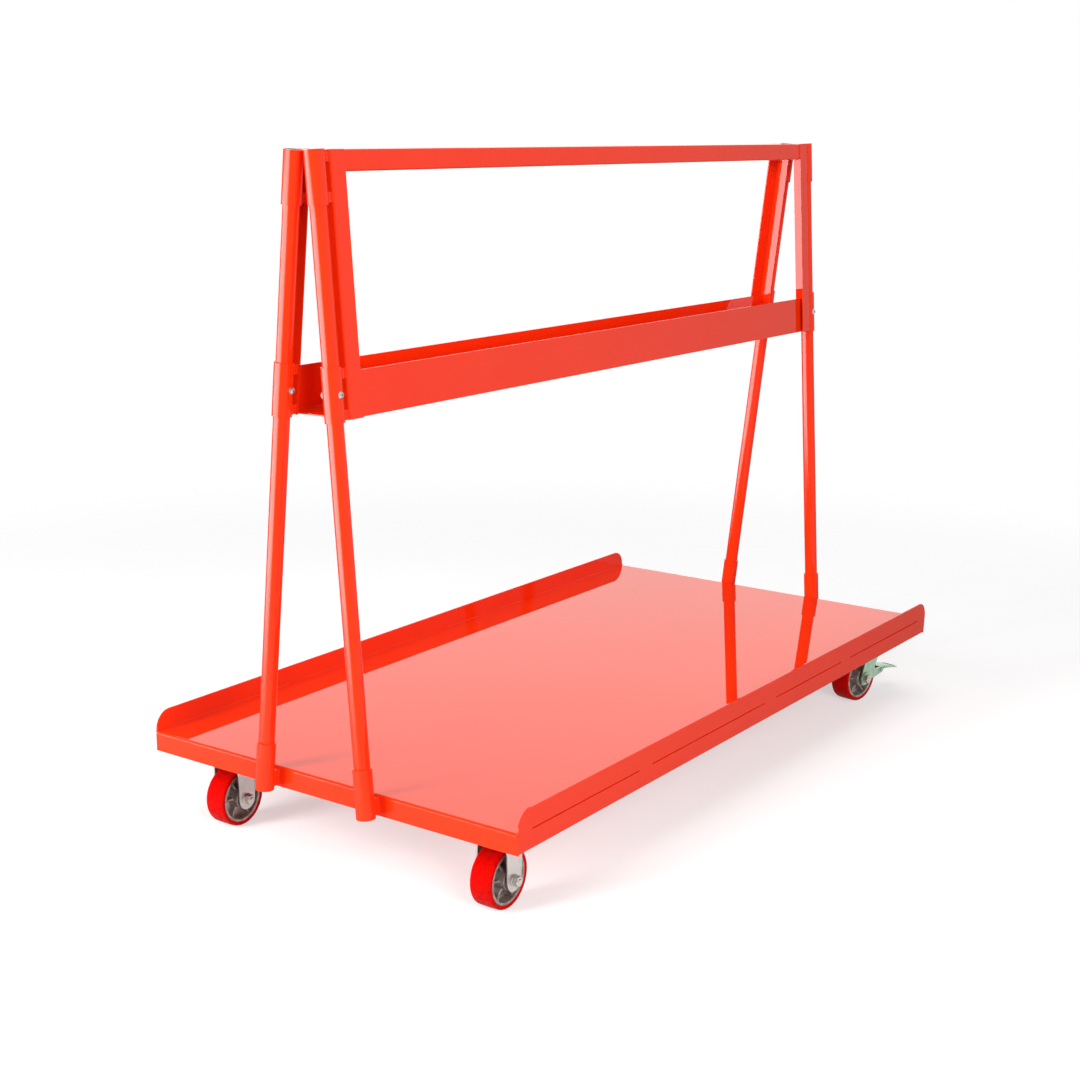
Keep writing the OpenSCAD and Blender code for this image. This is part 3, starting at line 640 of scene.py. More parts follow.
class Pattern:
    """A geometry tree with named inputs, laid over a base mesh and baked into a plain one."""

    def __init__(self, name: str, numbers: dict[str, float]) -> None:
        """Starts the tree.

        Args:
            name: Name of the tree.
            numbers: Its named sizes, in metres or as counts, with their values.
        """
        self.tree = bpy.data.node_groups.new(name, "GeometryNodeTree")
        sockets = self.tree.interface
        sockets.new_socket("Geometry", in_out="INPUT", socket_type="NodeSocketGeometry")
        self.numbers = numbers
        for label, value in numbers.items():
            kind = "NodeSocketInt" if isinstance(value, int) else "NodeSocketFloat"
            sockets.new_socket(label, in_out="INPUT", socket_type=kind)
        sockets.new_socket("Material", in_out="INPUT", socket_type="NodeSocketMaterial")
        sockets.new_socket("Geometry", in_out="OUTPUT", socket_type="NodeSocketGeometry")
        self.start = add(self.tree, "NodeGroupInput")

    def end(self, geometry: Socket) -> None:
        """Closes the tree: instances are made real and get the material.

        Args:
            geometry: Socket with the finished pattern.
        """
        real = add(self.tree, "GeometryNodeRealizeInstances", {"Geometry": geometry})
        dressed = add(self.tree, "GeometryNodeSetMaterial",
                      {"Geometry": real.outputs["Geometry"], "Material": self.start.outputs["Material"]})
        add(self.tree, "NodeGroupOutput", {"Geometry": dressed.outputs["Geometry"]})

    def bake(self, base: Piece, name: str, finish: Finish, sharp: float = 40.0) -> Piece:
        """Lays the pattern over a base object and makes the result plain.

        Args:
            base: Object whose mesh the tree reads; it is removed.
            name: Name of the new piece.
            finish: Finish of the pattern.
            sharp: Edges that turn more than this many degrees stay sharp.

        Returns:
            The plain piece at the origin.
        """
        modifier = base.modifiers.new("pattern", "NODES")
        modifier.node_group = self.tree
        values = {**self.numbers, "Material": finish.material()}
        for item in self.tree.interface.items_tree:
            if item.item_type == "SOCKET" and item.in_out == "INPUT" and item.name in values:
                modifier[item.identifier] = values[item.name]
        bpy.context.view_layer.update()
        graph = bpy.context.evaluated_depsgraph_get()
        data = bpy.data.meshes.new_from_object(base.evaluated_get(graph), depsgraph=graph)
        bpy.data.objects.remove(base)
        data.name = name
        smooth(data, sharp)
        return in_scene(name, data)


def points_object(points: list[Vector], edges: list[tuple[int, int]] = (), turns: list[Triple] = ()) -> Piece:
    """Makes a base object of bare points or lines for a pattern.

    Args:
        points: Points in metres.
        edges: Pairs of point numbers that make lines, if any.
        turns: Turn of each point as X, Y and Z angles, if any, kept as the attribute "turn".

    Returns:
        The base object.
    """
    data = bpy.data.meshes.new("base")
    data.from_pydata(points, edges, [])
    if turns:
        attribute = data.attributes.new("turn", "FLOAT_VECTOR", "POINT")
        attribute.data.foreach_set("vector", [angle for turn in turns for angle in turn])
    return in_scene("base", data)


def ring_of_copies(name: str, copy: Piece, count: int) -> Pattern:
    """Tree that sets copies of an object round Z and joins them to the base mesh.

    Args:
        name: Name of the tree.
        copy: Object that is repeated, in place at its first position.
        count: Number of copies.

    Returns:
        The pattern.
    """
    pattern = Pattern(name, {"Count": count})
    tree = pattern.tree
    dots = add(tree, "GeometryNodePoints", {"Count": pattern.start.outputs["Count"]})
    index = add(tree, "GeometryNodeInputIndex").outputs[0]
    step = calc(tree, "DIVIDE", math.tau, pattern.start.outputs["Count"])
    turn = add(tree, "ShaderNodeCombineXYZ", {"Z": calc(tree, "MULTIPLY", index, step)})
    turned = add(tree, "FunctionNodeEulerToRotation", {0: turn.outputs[0]})
    source = add(tree, "GeometryNodeObjectInfo", {"Object": copy})
    copies = add(tree, "GeometryNodeInstanceOnPoints",
                 {"Points": dots.outputs[0], "Instance": source.outputs["Geometry"],
                  "Rotation": turned.outputs[0]})
    join = add(tree, "GeometryNodeJoinGeometry", {"Geometry": pattern.start.outputs["Geometry"]})
    tree.links.new(copies.outputs["Instances"], join.inputs["Geometry"])
    pattern.end(join.outputs["Geometry"])
    return pattern


def copies_on_points(name: str, copy: Piece) -> Pattern:
    """Tree that sets a copy of an object on each base point, turned by the point's own attribute.

    Args:
        name: Name of the tree.
        copy: Object that is repeated.

    Returns:
        The pattern.
    """
    pattern = Pattern(name, {"Scale": 1.0})
    tree = pattern.tree
    turn = add(tree, "GeometryNodeInputNamedAttribute", {"Name": "turn"}, data_type="FLOAT_VECTOR")
    turned = add(tree, "FunctionNodeEulerToRotation", {0: turn.outputs["Attribute"]})
    source = add(tree, "GeometryNodeObjectInfo", {"Object": copy})
    copies = add(tree, "GeometryNodeInstanceOnPoints",
                 {"Points": pattern.start.outputs["Geometry"], "Instance": source.outputs["Geometry"],
                  "Rotation": turned.outputs[0], "Scale": pattern.start.outputs["Scale"]})
    pattern.end(copies.outputs["Instances"])
    return pattern


def bead_along_lines(pitch: float, width: float, seed: int) -> Pattern:
    """Tree that lays overlapping weld ripples along the base lines.

    Args:
        pitch: Distance from ripple to ripple, in metres.
        width: Width of the bead, in metres.
        seed: Seed of the ripples' small differences.

    Returns:
        The pattern.
    """
    pattern = Pattern("weld beads", {"Pitch": pitch, "Width": width, "Seed": seed})
    tree, start = pattern.tree, pattern.start.outputs
    line = add(tree, "GeometryNodeMeshToCurve", {"Mesh": start["Geometry"]})
    steps = add(tree, "GeometryNodeResampleCurve", {"Curve": line.outputs["Curve"], "Length": start["Pitch"]},
                mode="LENGTH")
    drop = add(tree, "GeometryNodeMeshUVSphere",
               {"Segments": 8, "Rings": 5, "Radius": calc(tree, "MULTIPLY", start["Width"], 0.5)})
    size = add(tree, "FunctionNodeRandomValue", {2: 0.86, 3: 1.12, "Seed": start["Seed"]}, data_type="FLOAT")
    tangent = add(tree, "GeometryNodeInputTangent")
    turned = add(tree, "FunctionNodeAlignRotationToVector", {"Vector": tangent.outputs[0]}, axis="X")
    ripples = add(tree, "GeometryNodeInstanceOnPoints",
                  {"Points": steps.outputs["Curve"], "Instance": drop.outputs["Mesh"],
                   "Rotation": turned.outputs[0], "Scale": size.outputs[1]})
    pattern.end(ripples.outputs["Instances"])
    return pattern


def replace(made: Piece, body: str, slot: str, *nodes: str) -> None:
    """Puts a piece on its body in place of frame nodes.

    Args:
        made: The finished piece.
        body: Body that it moves with.
        slot: Material slot of the record; not used.
        *nodes: Frame nodes that it stands for.
    """
    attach(made, body)
    if nodes:
        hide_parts(*nodes)
    LOG.info("%s: %d faces on %s", made.name, len(made.data.polygons), body)


def placed(origin: Vector, out: Vector) -> Matrix:
    """Frame in millimetres at a point, with its Z along a direction.

    Args:
        origin: Point in millimetres.
        out: Direction of the frame's Z.

    Returns:
        The frame's matrix.
    """
    return Matrix.Translation(origin) @ out.to_track_quat("Z", "Y").to_matrix().to_4x4()


def castor_place(body: str, turn: float = 0.0) -> Matrix:
    """Place on the floor under a body's joint.

    Args:
        body: The body.
        turn: Turn about Z, in degrees.

    Returns:
        The place in the row frame, in millimetres.
    """
    x, y, _ = joint_of(body)["pos_m"]
    return Matrix.Translation((x / MM, y / MM, 0.0)) @ Matrix.Rotation(math.radians(turn), 4, "Z")


def mirrored(places: Outline) -> Outline:
    """The same places on the other side of z = 0, in reverse."""
    return [(radius, -z) for radius, z in reversed(places)]


def arc(cx: float, cy: float, radius: float, start: float, end: float, steps: int) -> Outline:
    """Points of an arc in a section.

    Args:
        cx: First coordinate of the centre.
        cy: Second coordinate of the centre.
        radius: Radius of the arc.
        start: First angle, in degrees.
        end: Last angle, in degrees.
        steps: Number of steps.

    Returns:
        The arc's points, ends included.
    """
    angles = [math.radians(start + (end - start) * i / steps) for i in range(steps + 1)]
    return [(cx + radius * math.cos(a), cy + radius * math.sin(a)) for a in angles]


@dataclass
class Wheel:
    """One castor wheel: cast hub with ribs, poured tyre and two shielded ball bearings. Sizes in mm."""

    name: str
    radius: float = WHEEL_RADIUS
    tread: float = 50.0
    crown: float = 0.35
    tyre: float = 9.0
    shoulder: float = 5.0
    rim_half: float = 23.0
    rim_wall: float = 6.0
    web_half: float = 3.0
    fillet: float = 5.0
    boss: float = 22.4
    boss_half: float = 28.0
    bore: float = 14.5
    bearing: float = 17.5
    bearing_bore: float = 7.5
    bearing_width: float = 11.0
    ribs: int = 6
    rib_root: float = 3.6
    rib_crest: float = 2.2
    rib_height: float = 18.0
    rib_sag: float = 4.0
    steps: int = 96
    where: Matrix = field(init=False)

    def __post_init__(self) -> None:
        """Finds the wheel's centre and axle in the frame's joints."""
        joint = joint_of(self.body)
        self.where = placed(Vector(joint["pos_m"]) / MM, Vector(joint["axis"]))

    @property
    def body(self) -> str:
        """Name of the wheel's body."""
        return "wheel_" + self.name

    @property
    def seat(self) -> float:
        """Distance of the bearings' inner faces from the wheel's middle."""
        return self.boss_half - self.bearing_width

    def tyre_section(self) -> Outline:
        """Section of the tyre: crowned tread, round shoulders, and a lip over the rim's edge.

        Returns:
            Radius and height of each corner.
        """
        seat, top = self.radius - self.tyre, self.radius - self.shoulder - self.crown
        flat = self.tread / 2 - self.shoulder
        shares = (-0.66, -0.33, 0.0, 0.33, 0.66)
        tread = [(self.radius - self.crown * share ** 2, share * flat) for share in shares]
        side = [(seat, -self.rim_half), (seat + 0.6, -self.rim_half - 0.5), (seat + 2.2, -self.rim_half - 1.2)]
        low = arc(top, -flat, self.shoulder, -90, 0, 7)
        return side + low + tread + arc(top, flat, self.shoulder, 0, 90, 7) + mirrored(side)

    def hub_section(self) -> Outline:
        """Section of the hub: rim with turned edges, web with fillets, boss with bearing seats.

        Returns:
            Radius and height of each corner.
        """
        outer, fillet = self.radius - self.tyre, self.fillet
        inner = outer - self.rim_wall
        half = ([(self.bore, self.seat - 0.01), (self.bearing, self.seat), (self.bearing, self.boss_half - 0.8),
                 (self.bearing + 0.8, self.boss_half), (self.boss - 1.0, self.boss_half),
                 (self.boss, self.boss_half - 1.0), (self.boss + 0.9, 12.0)]
                + arc(self.boss + 1.6 + fillet, self.web_half + fillet, fillet, 180, 270, 5)
                + arc(inner - 1.6 - fillet, self.web_half + fillet, fillet, -90, 0, 5)
                + [(inner + 0.2, self.rim_half - 0.8), (inner + 1.0, self.rim_half),
                   (outer - 0.5, self.rim_half), (outer, self.rim_half - 0.5)])
        return [(self.bore, 0.0)] + half + mirrored(half)

    def bearing_section(self) -> Outline:
        """Section of one shielded bearing from its seat up: outer ring, sunk shield and inner ring.

        Returns:
            Radius and height of each corner.
        """
        r0, r1, w = self.bearing_bore, self.bearing, self.bearing_width
        return [(r0, 0.0), (r1, 0.0), (r1, w - 0.6), (r1 - 0.6, w), (r1 - 2.4, w), (r1 - 2.6, w - 0.5),
                (r1 - 3.4, w - 0.9), (r0 + 3.2, w - 1.2), (r0 + 2.6, w - 0.9), (r0 + 2.5, w),
                (r0 + 0.6, w), (r0, w - 0.6)]

    def rib(self) -> Piece:
        """One rib of the casting on both sides of the web.

        Returns:
            The object that the ring of ribs repeats.
        """
        inner, outer = self.boss - 1.0, self.radius - self.tyre - self.rim_wall + 1.0
        root, crest = self.rib_root, self.rib_crest
        builder = Builder()
        for sign in (1, -1):
            rings = []
            for share in [i / 8 for i in range(9)]:
                radius = inner + (outer - inner) * share
                top = self.rib_height - self.rib_sag * math.sin(math.pi * share)
                section = ((-root, 1.0), (-crest, top - 1.0), (-crest + 1.0, top),
                           (crest - 1.0, top), (crest, top - 1.0), (root, 1.0))
                rings.append(builder.row([(radius, y, sign * z) for y, z in section]))
            builder.skin(rings)
        return builder.piece("rib", IRON)

    def build(self) -> None:
        """Builds the tyre, the ribbed hub and the bearings, and puts them on the wheel's body."""
        tyre, core, pair = Builder(), Builder(), Builder()
        tyre.turned(self.tyre_section(), self.steps)
        replace(tyre.piece("poured_tyre_" + self.name, TYRE, self.where, 40), self.body, "red_tyre",
                "tyre_" + self.name)
        core.turned(self.hub_section(), self.steps)
        rib = self.rib()
        pattern = ring_of_copies("hub ribs", rib, self.ribs)
        hub = pattern.bake(core.piece("hub_core", IRON), "ribbed_hub_" + self.name, IRON, 35)
        hub.data.transform(Matrix.Scale(MM, 4) @ self.where @ Matrix.Scale(1 / MM, 4))
        bpy.data.objects.remove(rib)
        replace(hub, self.body, "cast_iron", "hub_" + self.name)
        for sign in (1, -1):
            pair.turned([(r, sign * (z + self.seat)) for r, z in self.bearing_section()], 64)
        replace(pair.piece("shielded_bearings_" + self.name, STEEL, self.where), self.body, "bearing_steel",
                "bearings_" + self.name)


@dataclass
class RackFrame:
    """The racks' leaning frame of reference: along the deck, out of the rack, up the leg. Sizes in mm."""

    deck_top: float = 210.0
    foot: float = 126.06
    lean: float = 5.0
    leg_x: float = 958.0
    sleeve_radius: float = 19.0
    half: float = 936.5
    flange: float = 39.0
    face: float = 18.0
    sheet: float = 2.5

    def at(self, side: Side, x: float, out: float, up: float) -> Vector:
        """A point of the rack in the row frame.

        Args:
            side: Front or rear rack.
            x: Place along the deck.
            out: Distance outward from the leg axis.
            up: Distance along the leg from the deck.

        Returns:
            The point in millimetres.
        """
        c, s = math.cos(math.radians(self.lean)), math.sin(math.radians(self.lean))
        return Vector((x, side.value * (self.foot + out * c - up * s), self.deck_top + out * s + up * c))

    def outward(self, side: Side) -> Vector:
        """Direction that points out of a rack."""
        return (self.at(side, 0, 1, 0) - self.at(side, 0, 0, 0)).normalized()


@dataclass
class Fasteners:
    """Bolts and nuts of the castor plates, axles and sleeves.

    Sizes in mm. Flats, head, nut and the washer face's radius and height count in thread diameters.
    """

    plate_bolt: float = 10.0
    plate_holes: Pair = (80.0, 60.0)
    axle: float = 12.0
    fork_outer: float = 39.5
    sleeve_bolt: float = 8.0
    sleeve_bolt_height: float = 758.0
    flats: float = 1.6
    head: float = 0.64
    nut: float = 0.8
    washer: Pair = (0.78, 0.05)
    stud: float = 2.0
    rack: RackFrame = field(default_factory=RackFrame)

    def bolt(self, thread: float, grip: float) -> Piece:
        """Hexagon bolt with its head's seat on z = 0, the head above and the thread below.

        Args:
            thread: Thread diameter.
            grip: Length of plain shank below the head.

        Returns:
            The bolt at the origin.
        """
        radius, height = (share * thread for share in self.washer)
        builder = Builder()
        builder.rod(radius, 0.0, height, HEX_STEPS)
        builder.hexagon(self.flats * thread, height, self.head * thread)
        builder.rod(thread / 2, -grip, 0.0)
        builder.thread(thread / 2, 0.15 * thread, grip, grip + self.nut * thread + self.stud,
                       Matrix.Rotation(math.pi, 4, "X"))
        return builder.piece("bolt", ZINC)

    def hexagon_nut(self, thread: float) -> Piece:
        """Hexagon nut that sits on z = 0, chamfered on both faces.

        Args:
            thread: Thread diameter.

        Returns:
            The nut at the origin.
        """
        builder = Builder()
        builder.hexagon(self.flats * thread, 0.0, self.nut * thread, both=True, bore=0.5 * thread)
        return builder.piece("nut", ZINC)

    def sleeve_screw(self) -> Piece:
        """Button-head screw with its seat on z = 0 and its shank below.

        Returns:
            The screw at the origin.
        """
        builder = Builder()
        builder.button(0.88 * self.sleeve_bolt, 0.55 * self.sleeve_bolt, 0.62 * self.sleeve_bolt)
        builder.rod(self.sleeve_bolt / 2, -2 * self.rack.sleeve_radius, 0.0)
        return builder.piece("screw", ZINC)

    def cap_nut(self) -> Piece:
        """Low domed cap nut that sits on z = 0.

        Returns:
            The nut at the origin.
        """
        full = self.nut * self.sleeve_bolt + self.stud
        waist, dome = 0.5 * full, 0.68 * self.sleeve_bolt
        curve = [(dome * math.cos(math.radians(a)), waist + (full - waist) * math.sin(math.radians(a)))
                 for a in range(0, 90, 15)]
        builder = Builder()
        builder.hexagon(self.flats * self.sleeve_bolt, 0.0, waist)
        builder.turned([(0.0, waist - 0.5), (dome, waist - 0.5)] + curve + [(0.0, full)], HEX_STEPS)
        return builder.piece("cap", ZINC)

    def plate_spots(self, height: float, out: float) -> list[Spot]:
        """Places of the sixteen plate bolts.

        Args:
            height: Height of the seats.
            out: +1 for nuts, which look up, and -1 for heads.

        Returns:
            Place and direction of each.
        """
        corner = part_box("castor_pads")[1] / MM
        x, y = corner.x - PLATE_HALF[0], corner.y - PLATE_HALF[1]
        return [(Vector((ex * x + sx * self.plate_holes[0] / 2, ey * y + sy * self.plate_holes[1] / 2, height)),
                 Vector((0.0, 0.0, out)))
                for ex in (-1, 1) for ey in (-1, 1) for sx in (-1, 1) for sy in (-1, 1)]

    def axle_spot(self, wheel: str, end: int) -> Spot:
        """Seat on one side of a fork and the direction away from it.

        Args:
            wheel: Name of the wheel on the axle.
            end: +1 for the bolt head's side, -1 for the nut's.

        Returns:
            Place and direction.
        """
        joint = joint_of("wheel_" + wheel)
        out = Vector(joint["axis"]) * end
        return Vector(joint["pos_m"]) / MM + out * self.fork_outer, out

    def sleeve_spots(self, end: int) -> list[Spot]:
        """Places of the four sleeve bolts' heads or nuts.

        Args:
            end: +1 for the outer side of the racks, -1 for the inner.

        Returns:
            Place and direction of each.
        """
        return [(self.rack.at(side, x.value * self.rack.leg_x, end * self.rack.sleeve_radius,
                              self.sleeve_bolt_height), self.rack.outward(side) * end)
                for x in End for side in Side]

    @staticmethod
    def lay(name: str, copy: Piece, spots: list[Spot], body: str, *nodes: str) -> None:
        """Puts copies of a small part on a body as one piece, each with its Z along its own direction.

        Args:
            name: Name of the new piece.
            copy: The small part, at the origin; it is removed.
            spots: Place in millimetres and direction of each copy.
            body: Body that the piece moves with.
            *nodes: Frame nodes that it stands for.
        """
        turns = [tuple(out.to_track_quat("Z", "Y").to_euler("XYZ")) for _, out in spots]
        base = points_object([place * MM for place, _ in spots], turns=turns)
        made = copies_on_points(name, copy).bake(base, name, ZINC, 32.0)
        bpy.data.objects.remove(copy)
        replace(made, body, "zinc_plate", *nodes)

    def build(self) -> None:
        """Builds every bolt and nut and puts them on their bodies."""
        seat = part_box("castor_bolts")[0].z / MM + self.head * self.plate_bolt
        nut_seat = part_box("castor_nuts")[0].z / MM
        self.lay("plate_bolts", self.bolt(self.plate_bolt, nut_seat - seat), self.plate_spots(seat, -1),
                 "base", "castor_bolts")
        self.lay("plate_nuts", self.hexagon_nut(self.plate_bolt), self.plate_spots(nut_seat, 1),
                 "base", "castor_nuts")
        axles = [("s_fixed", ["fixed_front", "fixed_rear"], "base", ["fixed_axle_bolts"], ["fixed_axle_nuts"])]
        for side in Side:
            body = "swivel_" + side.word
            axles.append(("_" + body, [body], body, ["axle_bolt_" + body], []))
        for tail, wheels, body, bolts, nuts in axles:
            self.lay("axle_bolt" + tail, self.bolt(self.axle, 2 * self.fork_outer),
                     [self.axle_spot(wheel, 1) for wheel in wheels], body, *bolts)
            self.lay("axle_nut" + tail, self.hexagon_nut(self.axle),
                     [self.axle_spot(wheel, -1) for wheel in wheels], body, *nuts)
        self.lay("sleeve_screws", self.sleeve_screw(), self.sleeve_spots(1), "base", "sleeve_bolts")
        self.lay("sleeve_cap_nuts", self.cap_nut(), self.sleeve_spots(-1), "base", "sleeve_nuts")


@dataclass
class Welds:
    """Painted weld beads where the tubes, tabs, rails and channels meet.

    Sizes in mm. A span is the lower and upper end of a bead up the leg, and a channel its place along
    the deck and its half width.
    """

    pitch: float = 2.4
    width: float = 4.2
    clear: float = 0.6
    stitch: float = 40.0
    rack: RackFrame = field(default_factory=RackFrame)
    tab_half: float = 14.0
    tab_height: float = 18.0
    tab_bases: tuple[float, ...] = (712.0, 786.0, 1091.5, 1160.5)
    spacer_half: float = 10.0
    spacer_span: Pair = (-37.0, -6.0)
    top_rail_span: Pair = (1146.0, 1179.0)
    kick_rail_span: Pair = (713.0, 794.0)
    kick_rail_out: float = 7.5
    deck_half: float = 930.0
    deck_under: float = 207.0
    trough_places: range = range(-840, 841, 280)
    deck_places: range = range(-360, 361, 180)
    channels: tuple[Pair, ...] = (
        (-822.0, 60.0), (-400.0, 20.0), (0.0, 20.0), (400.0, 20.0), (822.0, 60.0))

    def round_of(self, half: float) -> float:
        """Place along the deck where a block of that half width meets the sleeve's round."""
        return self.rack.leg_x - math.sqrt(self.rack.sleeve_radius ** 2 - half ** 2)

    def up_leg(self, side: Side, x: float, out: float, span: Pair) -> Spot:
        """Ends of a bead that runs up the leg."""
        return self.rack.at(side, x, out, span[0]), self.rack.at(side, x, out, span[1])

    def stitch_at(self, middle: Triple, along: Triple) -> Spot:
        """Ends of a stitch about its middle, along a direction."""
        return tuple(Vector(middle) + Vector(along) * reach for reach in (-self.stitch / 2, self.stitch / 2))

    def spacer_lines(self) -> list[Spot]:
        """Beads beside the spacers that hold the leg sockets."""
        return [self.up_leg(side, end.value * x, s * (self.spacer_half + self.clear), self.spacer_span)
                for end in End for side in Side for s in (-1, 1)
                for x in (self.deck_half + self.clear, self.round_of(self.spacer_half))]

    def tab_lines(self) -> list[Spot]:
        """Beads beside the sleeve tabs, on the uprights' flanges and on the sleeves."""
        return [self.up_leg(side, end.value * x, s * self.tab_half, (base + 1, base + self.tab_height - 1))
                for end in End for side in Side for s in (-1, 1) for base in self.tab_bases
                for x in (self.rack.half + 0.5, self.round_of(self.tab_half))]

    def rail_lines(self) -> list[Spot]:
        """Beads at the ends of the top and kick rails.

        Returns:
            Ends of each bead.
        """
        rack = self.rack
        rails = ((rack.half - rack.flange - 0.4, rack.face - rack.sheet, self.top_rail_span),
                 (rack.half - rack.sheet, self.kick_rail_out, self.kick_rail_span))
        return [self.up_leg(side, end.value * x, out, span)
                for end in End for side in Side for x, out, span in rails]

    def trough_lines(self) -> list[Spot]:
        """Stitches inside the trough, where its floor meets the kick rails.

        Returns:
            Ends of each stitch.
        """
        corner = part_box("trough_floor")[1] / MM
        return [self.stitch_at((x, s * (corner.y - self.clear), corner.z), (1, 0, 0))
                for s in (-1, 1) for x in self.trough_places]

    def channel_lines(self) -> list[Spot]:
        """Stitches under the deck, along the castor channels and stiffeners."""
        return [self.stitch_at((x + s * half, y, self.deck_under), (0, 1, 0))
                for x, half in self.channels for s in (-1, 1) for y in self.deck_places]

    def bead(self, name: str, lines: list[Spot], seed: int) -> None:
        """Lays one piece of beads along its lines.

        Args:
            name: Name of the piece.
            lines: Ends of each line, in millimetres.
            seed: Seed of the ripples.
        """
        points = [point * MM for line in lines for point in line]
        base = points_object(points, [(2 * i, 2 * i + 1) for i in range(len(lines))])
        pattern = bead_along_lines(self.pitch * MM, self.width * MM, seed)
        replace(pattern.bake(base, name, PAINT, 60.0), "base", "red_paint")

    def build(self) -> None:
        """Lays the beads of the racks and of the deck."""
        self.bead("rack_weld_beads", self.tab_lines() + self.rail_lines() + self.trough_lines(), 3)
        self.bead("deck_weld_beads", self.spacer_lines() + self.channel_lines(), 5)


@dataclass
class CastorFork:
    """Fork pressed from one strip: two legs under a web, with a raised boss round each axle hole.

    Sizes in mm, in the side view of its castor: forward of its middle, and up from the floor.
    """

    side: Side
    turn: float = 0.0
    sheet: float = 4.0
    outer: float = 37.0
    bend: float = 7.0
    foot: float = 23.0
    leg_half: float = 25.0
    plate_corner: float = 12.0
    axle: Pair = (0.0, WHEEL_RADIUS)
    bore: float = 6.1
    top: float = 161.0
    hub_half: float = 28.4
    bush: float = 9.5
    boss: float = 12.5
    boss_rise: float = 2.5
    finish: Finish = ZINC
    node: str = "fixed_fork"
    joint: str = "wheel_fixed"
    parts: Builder = field(default_factory=Builder)

    @property
    def body(self) -> str:
        """Name of the fork's body."""
        return "base"

    @property
    def where(self) -> Matrix:
        """Place of the castor in the row frame."""
        return castor_place(self.joint + "_" + self.side.word, self.turn)

    def outline(self) -> Outline:
        """Side view of a leg up to the bend, counter-clockwise: straight sides and a round foot."""
        low, bend = arc(*self.axle, self.foot, 182, 358, 22), self.top - self.bend
        return [(-self.leg_half, bend)] + low + [(self.leg_half, bend)]

    def legs(self) -> None:
        """Adds the legs, the bends and the web."""
        half, outline = self.sheet / 2, self.outline()
        for s in (-1, 1):
            self.parts.plate(outline, -half, half, Matrix.Translation((0.0, s * (self.outer - half), 0.0)) @ FLAT)
        out, base, inside = self.outer - self.bend, self.top - self.bend, self.bend - self.sheet
        fold = (arc(out, base, self.bend, 0, 90, 8) + arc(-out, base, self.bend, 90, 180, 8)
                + arc(-out, base, inside, 180, 90, 6) + arc(out, base, inside, 90, 0, 6))
        self.parts.plate(fold, outline[0][0], outline[-1][0], ALONG_X)

    def bosses(self) -> None:
        """Adds the raised seats of the axle's head and nut, and the spacers beside the hub."""
        outer, inner, rise = self.outer - 0.2, self.outer - self.sheet + 0.2, self.outer + self.boss_rise
        for turn in (FLAT, FLAT.inverted()):
            lay = Matrix.Translation((self.axle[0], 0.0, self.axle[1])) @ turn
            self.parts.turned([(self.bore, outer), (self.boss, outer), (self.boss, rise - 0.8),
                               (self.boss - 0.8, rise), (self.bore, rise)], 40, lay)
            self.parts.turned([(self.bore, self.hub_half), (self.bush - 0.6, self.hub_half),
                               (self.bush, self.hub_half + 0.6), (self.bush, inner), (self.bore, inner)], 32, lay)

    def head(self) -> None:
        """Adds the plate that is bolted under the deck."""
        r = self.plate_corner
        x, y = (half - r for half in PLATE_HALF)
        corners = ((x, y, 0), (-x, y, 90), (-x, -y, 180), (x, -y, 270))
        outline = [place for cx, cy, start in corners for place in arc(cx, cy, r, start, start + 90, 6)]
        self.parts.plate(outline, self.top, self.top + self.sheet)

    def build(self) -> None:
        """Builds the fork and puts it on its body."""
        self.legs()
        self.bosses()
        self.head()
        name = self.node + "_" + self.side.word
        replace(self.parts.piece("pressed_" + name, self.finish, self.where), self.body, "zinc_plate", name)


@dataclass
class SwivelFork(CastorFork):
    """Swivel fork: raked legs with an ear for the pedal's pin, under a crown that holds the upper race."""

    foot: float = 18.5
    axle: Pair = (-TRAIL, WHEEL_RADIUS)
    top: float = 147.0
    boss: float = 16.5
    finish: Finish = GREEN_ZINC
    node: str = "swivel_fork"
    joint: str = "swivel"
    ear: float = 7.5
    pin_radius: float = 4.0

    @property
    def body(self) -> str:
        """Name of the fork's body."""
        return "swivel_" + self.side.word

    def outline(self) -> Outline:
        """Side view of a raked leg up to the bend, counter-clockwise, with the pin's ear in front.

        Returns:
            The outline's corners.
        """
        bend, below = self.top - self.bend, arc(*self.axle, self.foot, 164, 342, 22)
        return ([(-29.0, bend), (-31.5, 128.0)] + below + [(6.0, 57.5), (24.0, 61.5)]
                + arc(*PEDAL_PIN, self.ear, -70, 90, 12) + [(26.0, 79.5)] + arc(12.0, 88.5, 9.0, 270, 196, 6)
                + [(9.6, 97.0), (27.0, 132.0), (29.0, bend)])

    def head(self) -> None:
        """Adds the crown with its rim round the upper race."""
        base, seat = self.top - 0.2, self.top + 8.0
        self.parts.turned([(8.5, base), (34.6, base), (36.0, base + 1.4), (36.0, seat + 2.4), (35.4, seat + 3.0),
                           (33.2, seat + 3.0), (32.6, seat + 2.4), (32.6, seat), (8.5, seat)], 72)

    def build(self) -> None:
        """Builds the fork and the pedal's pin with its two riveted heads."""
        super().build()
        r, out = self.pin_radius, self.outer
        half = [(0.0, out + 2.6), (r + 0.6, out + 2.3), (r + 2.2, out + 1.2), (r + 2.4, out), (r, out)]
        pin = Builder()
        pin.turned(half + mirrored(half), 32, Matrix.Translation((PEDAL_PIN[0], 0.0, PEDAL_PIN[1])) @ FLAT)
        name = "pedal_pin_" + self.side.word
        replace(pin.piece("riveted_" + name, self.finish, self.where), self.body, "zinc_plate", name)


